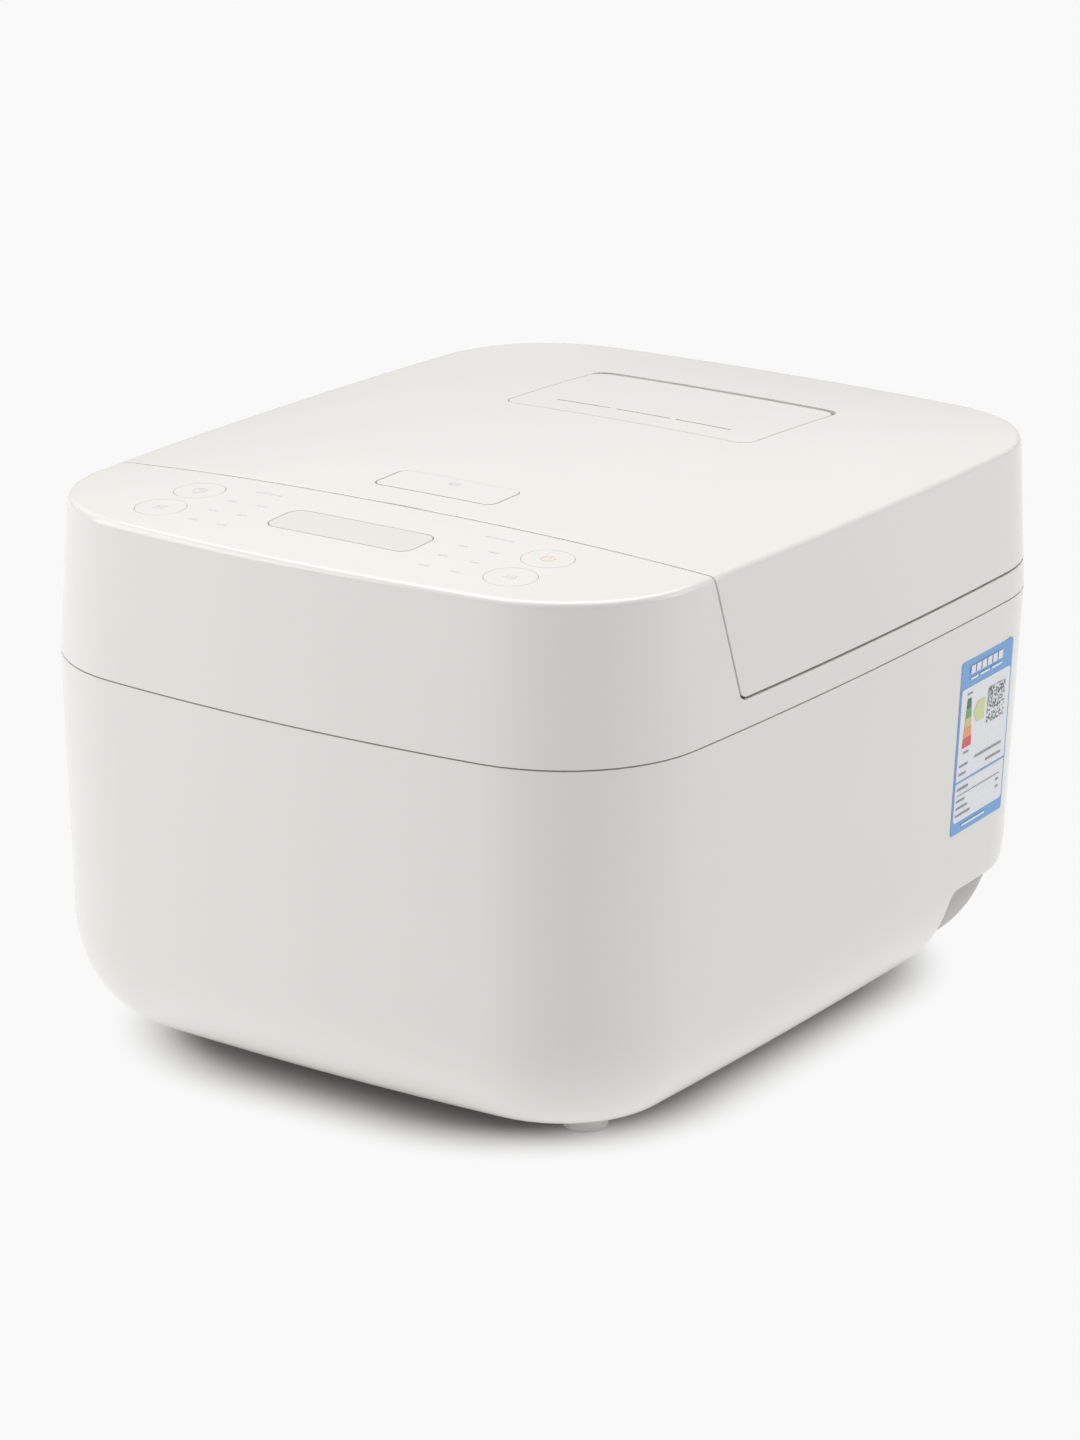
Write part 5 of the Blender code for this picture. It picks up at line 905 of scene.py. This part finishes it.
# The water levels are printed inside the pot in a pale baked ink: one long line, then two short ones.
baked_ink = pad_printing("pale_baked_ink", "#b9babd")
first_level, level_step, level_place, level_half = mm(24), mm(9.5), 118, mm(0.4)
long_reach, short_reach, ink_proud, ink_sunk = 9, 4.5, mm(0.12), mm(0.3)
level_marks = bmesh.new()
for number in range(9):
    z = pot_low.z + first_level + level_step * number
    reach = long_reach if number % 3 == 0 else short_reach
    turns = [math.radians(level_place + reach * (i / 6 - 0.5)) for i in range(7)]
    section = [(inner_radius - ink_proud, z - level_half), (inner_radius - ink_proud, z + level_half),
               (inner_radius + ink_sunk, z + level_half), (inner_radius + ink_sunk, z - level_half)]
    rows = [[level_marks.verts.new((pot_x + radius * math.cos(t), pot_y + radius * math.sin(t), height))
             for t in turns] for radius, height in section]
    for lower, upper in zip(rows, rows[1:] + rows[:1]):
        for i in range(6):
            level_marks.faces.new((lower[i + 1], lower[i], upper[i], upper[i + 1]))
    level_marks.faces.new([row[0] for row in rows])
    level_marks.faces.new([row[-1] for row in rows[::-1]])
dress(from_bmesh("pot_level_marks", level_marks), baked_ink, "cooker_body", slot="non_stick_aluminium")


# ---------------------------------------------------------------- inner lid plate and gaskets
# A pressed aluminium plate under the lid with a bead near its edge and a ring of steam holes, and
# the seals round it and round the steam tube, moulded in milky silicone.
pressed_aluminium = metal("pressed_aluminium", "#d2d2d3", "#c4c5c7", 0.34, 1.2, 0.006)
plate_low, plate_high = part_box("inner_lid_plate")
plate_radius, plate_face = (plate_high.x - plate_low.x) / 2, plate_high.z - mm(1)
bead_width, bead_depth, bead_steps = mm(12), mm(1.2), 10
bead = [(plate_radius - bead_width * (1 - i / bead_steps),
         plate_face - bead_depth * (1 - math.cos(2 * math.pi * i / bead_steps)) / 2) for i in range(bead_steps)]
profile = [(axis_hole, plate_face), *bead, (plate_radius - mm(0.2), plate_face),
           (plate_radius, plate_face + mm(0.3)), (plate_radius, plate_high.z), (axis_hole, plate_high.z)]
inner_plate = spun("inner_lid_plate_pressed", profile, (pot_x, pot_y), steps=120)
cut(inner_plate, rod("steam_way", mm(4.8), (0, tube_y, 0), 1))
drip_holes, drip_circle, drip_radius = 10, mm(62), mm(1.6)
for i in range(drip_holes):
    angle = 2 * math.pi * (i + 0.5) / drip_holes
    place = pot_x + drip_circle * math.cos(angle), pot_y + drip_circle * math.sin(angle), 0
    cut(inner_plate, rod("drip_hole", drip_radius, place, 1, sides=20))
dress(inner_plate, pressed_aluminium, "lid", nodes=["inner_lid_plate"])

silicone, silicone_place = new_material("milky_silicone")
cloud = add_node(silicone, "ShaderNodeTexNoise", {"Vector": silicone_place, "Scale": 1 / mm(9), "Detail": 2.0})
silicone_tint = add_node(silicone, "ShaderNodeMix",
                         {0: cloud.outputs[0], 6: linear("#d4d3d0"), 7: linear("#c5c5c3")}, data_type="RGBA")
finish_material(silicone, add_node(silicone, "ShaderNodeBsdfPrincipled",
                                   {"Base Color": silicone_tint.outputs[2], "Roughness": 0.45, "IOR": 1.41,
                                    "Subsurface Weight": 0.25, "Subsurface Radius": (mm(2), mm(2), mm(2))}))
seal_low, seal_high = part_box("lid_gasket")
seal_outer, seal_middle = (seal_high.x - seal_low.x) / 2, (seal_low.z + seal_high.z) / 2
seal_inner, seal_chamfer, seal_round = seal_outer - mm(4.8), mm(0.9), mm(1.79)
lip = arc((seal_outer - mm(1.8), seal_middle), seal_round, -80, 80, 8)
profile = [(seal_inner + seal_chamfer, seal_low.z), (seal_outer - mm(1.4), seal_low.z), *lip,
           (seal_inner, seal_high.z), (seal_inner, seal_low.z + seal_chamfer)]
gasket = spun("lid_gasket_moulded", profile, (pot_x, pot_y), steps=120)
dress(gasket, silicone, "lid", nodes=["lid_gasket"])


# ---------------------------------------------------------------- energy label
# A printed polypropylene film with an adhesive back, on the right wall: a blue ground, a white panel,
# a column of grades from green to red, a grade badge, a rule and rows of small print. No lettering.
label_low, label_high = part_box("energy_label")
label_width, label_height = (label_high.y - label_low.y) * 1000, (label_high.z - label_low.z) * 1000
ground_lift, panel_lift, print_lift, film_thickness = 0.18, 0.30, 0.42, 0.12


def printed_film(name, colour):
    """Ink on a smooth film, with a trace of dot unevenness about 0.9 mm across."""
    material, place = new_material(f"printed_film_{name}")
    dots = add_node(material, "ShaderNodeTexNoise", {"Vector": place, "Scale": 1 / mm(0.9), "Detail": 1.0})
    gloss = add_node(material, "ShaderNodeMapRange",
                     {"Value": dots.outputs[0], "To Min": 0.24, "To Max": 0.34})
    lighter = add_node(material, "ShaderNodeHueSaturation", {"Color": linear(colour), "Value": 1.05})
    tint = add_node(material, "ShaderNodeMix", {0: dots.outputs[0], 6: linear(colour), 7: lighter.outputs[0]},
                    data_type="RGBA")
    shader = add_node(material, "ShaderNodeBsdfPrincipled",
                      {"Base Color": tint.outputs[2], "Roughness": gloss.outputs[0], "IOR": 1.5})
    return finish_material(material, shader)


def film(name, outline, material, lift=print_lift):
    """A patch of the label: (right, down) points in millimetres from its top left, on the curved wall."""
    rings = []
    for out in (mm(lift - film_thickness), mm(lift)):
        places = [(label_low.y + mm(right), label_high.z - mm(down)) for right, down in outline[::-1]]
        reaches = [math.sqrt((side_radius - lean * (seam_z - z)) ** 2 - y ** 2) for y, z in places]
        rings.append([(half_width - side_radius + reach + out, y, z) for reach, (y, z) in zip(reaches, places)])
    return dress(skin(f"label_{name}", rings), material, "cooker_body", slot="printed_label")


def strip(left, top, right, bottom):
    """The outline of a straight patch, with points every 5 mm or so to follow the wall."""
    steps = max(int((right - left) / 5), 1)
    along = [left + (right - left) * i / steps for i in range(steps + 1)]
    return [(x, top) for x in along] + [(x, bottom) for x in along[::-1]]


film_blue = printed_film("blue", "#6ba3dc")
film_white = printed_film("white", "#e6e8ec")
film_grey = printed_film("grey", "#8d949c")
ground = film("ground", rounded_outline(0, label_width, 0, label_height, 1.0, 4), film_blue, ground_lift)
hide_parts("energy_label")
panel_left, panel_right = 1.2, label_width - 1.0
panel_top, panel_bottom = label_height * 0.16, label_height * 0.93
panel = rounded_outline(panel_left, panel_right, panel_top, panel_bottom, 1.6, 4)
film("panel", panel, film_white, panel_lift)

# The title is six square blocks over three dashes, where a real film carries its heading.
title_left, title_step, title_width = 7.0, 4.3, 3.5
for number in range(6):
    left = title_left + title_step * number
    film(f"title_{number + 1}", strip(left, 2.6, left + title_width, 5.7), film_white)
for number, (left, right) in enumerate(((7.0, 13.0), (14.5, 22.0), (23.5, 31.5))):
    film(f"subtitle_{number + 1}", strip(left, 7.1, right, 7.9), film_white)

# Five grades widen downward, and the badge beside them points back at the second one.
grade_middle, grade_top, grade_step = 7.4, label_height * 0.225, label_height * 0.056
grade_narrow, grade_flare, grade_growth = 1.4, 0.35, 0.42
for number, colour in enumerate(("#2d6a4c", "#63a267", "#d3c182", "#eb9a62", "#d9484a")):
    top, upper = grade_top + grade_step * number, grade_narrow + grade_growth * number
    bottom, lower = top + grade_step * 0.95, upper + grade_flare
    outline = [(grade_middle - upper, top), (grade_middle + upper, top),
               (grade_middle + lower, bottom), (grade_middle - lower, bottom)]
    film(f"grade_{number + 1}", outline, printed_film(f"grade_{number + 1}", colour))
badge_tip, badge_left, badge_right = 11.6, 14.2, 20.0
badge_top, badge_bottom = label_height * 0.27, label_height * 0.385
badge = [(badge_tip, (badge_top + badge_bottom) / 2), (badge_left, badge_top), (badge_right, badge_top),
         (badge_right, badge_bottom), (badge_left, badge_bottom)]
film("badge", badge, printed_film("badge", "#d5d79c"))

# A square of random dots 0.6 mm across stands where a real film has its code.
code, code_place = new_material("printed_film_dots")
cell = add_node(code, "ShaderNodeVectorMath", {0: code_place, 1: (mm(0.6), mm(0.6), mm(0.6))},
                operation="SNAP")
dot = add_node(code, "ShaderNodeTexWhiteNoise", {"Vector": cell.outputs[0]})
inked = add_node(code, "ShaderNodeMath", {0: dot.outputs[0], 1: 0.5}, operation="GREATER_THAN")
code_tint = add_node(code, "ShaderNodeMix", {0: inked.outputs[0], 6: linear("#e6e8ec"), 7: linear("#5c5f64")},
                     data_type="RGBA")
finish_material(code, add_node(code, "ShaderNodeBsdfPrincipled",
                               {"Base Color": code_tint.outputs[2], "Roughness": 0.3}))
film("dots", strip(22.5, grade_top, 36.0, label_height * 0.43), code)

# Small print as dashes: name, left, right, share of the height, thickness. Captions stand over and under
# the grades, and a hair line crosses the last rows.
small_print = (
    ("caption_over", 5.6, 9.6, 0.192, 0.7), ("caption_under", 5.4, 9.4, 0.527, 0.7),
    ("maker", 3.0, 9.5, 0.597, 0.8), ("maker_name", 15.0, 36.0, 0.585, 0.8),
    ("model", 3.0, 8.5, 0.645, 0.8), ("model_name", 24.0, 36.0, 0.640, 0.8),
    ("row_1", 2.6, 11.0, 0.730, 1.0), ("hair_line", 2.6, 36.5, 0.772, 0.2),
    ("row_2", 2.6, 9.0, 0.800, 0.8), ("row_2_value", 34.0, 36.0, 0.800, 0.8),
    ("row_3", 2.6, 11.5, 0.842, 0.8), ("row_3_value", 34.0, 36.0, 0.842, 0.8),
    ("row_4", 2.6, 14.0, 0.884, 0.8),
)
for name, left, right, share, thick in small_print:
    film(name, strip(left, label_height * share, right, label_height * share + thick), film_grey)
film("rule", strip(panel_left, label_height * 0.690, panel_right, label_height * 0.690 + 0.6), film_blue)
film("footer", strip(8.0, label_height * 0.955, 26.0, label_height * 0.955 + 0.8), film_white)


# ---------------------------------------------------------------- mains inlet
# A three-blade appliance inlet in black glass-filled nylon, dull and slightly fibrous, clipped into
# the rear wall. Its blades are nickel-plated brass. Both keep their CAD shape.
black_nylon = moulded_plastic("black_glass_filled_nylon", "#1b1b1c", "#242425", 0.46, 0.35, 0.010, 1.53)
nickel_plated_brass = metal("nickel_plated_brass", "#d3cdbd", "#c4beae", 0.22, 0.6, 0.003)


# ---------------------------------------------------------------- everything behind the covers
# The CAD pieces whose shape is right keep it and take the finish of the real part: plated steel,
# cast aluminium, coated boards, taped windings and PVC-covered leads.
cast_aluminium = metal("cast_aluminium", "#c3c3c4", "#aeafb1", 0.48, 0.9, 0.020)
resist, resist_place = new_material("green_solder_resist")
tracks = add_node(resist, "ShaderNodeTexBrick",
                  {"Vector": resist_place, "Color1": linear("#1f5a34"), "Color2": linear("#245f39"),
                   "Mortar": linear("#3d8052"), "Scale": 1 / mm(12), "Mortar Size": 0.03})
finish_material(resist, add_node(resist, "ShaderNodeBsdfPrincipled",
                                 {"Base Color": tracks.outputs[0], "Roughness": 0.3, "IOR": 1.5}))
tape, tape_place = new_material("varnished_glass_tape")
weave = add_node(tape, "ShaderNodeTexWave", {"Vector": tape_place, "Scale": 1 / mm(12), "Distortion": 0.4})
tape_tint = add_node(tape, "ShaderNodeMix", {0: weave.outputs[1], 6: linear("#b39a6c"), 7: linear("#9c8459")},
                     data_type="RGBA")
finish_material(tape, add_node(tape, "ShaderNodeBsdfPrincipled",
                               {"Base Color": tape_tint.outputs[2], "Roughness": 0.6}))
relay_blue = moulded_plastic("blue_pbt", "#2c5f9e", "#2a5a97", 0.35, 0.8, 0.004)
pvc_red = moulded_plastic("red_pvc", "#a8261f", "#9d231d", 0.42, 0.9, 0.006, 1.53)
pvc_blue = moulded_plastic("blue_pvc", "#2850a0", "#254b96", 0.42, 0.9, 0.006, 1.53)
slot_finish = {
    "white_satin_plastic": white_polypropylene, "light_grey_plastic": light_grey_polypropylene,
    "black_plastic": black_nylon, "silicone": silicone, "aluminium": cast_aluminium,
    "plated_steel": zinc_plated_steel, "plated_brass": nickel_plated_brass, "circuit_board": resist,
    "insulating_wrap": tape, "relay_case": relay_blue, "red_lead": pvc_red, "blue_lead": pvc_blue,
}
for row in frame["record"]["subparts"]:
    node = frame["nodes"][row["node"]]
    if row["material_slot"] in slot_finish and not node.hide_render:
        node.data.materials.clear()
        node.data.materials.append(slot_finish[row["material_slot"]])
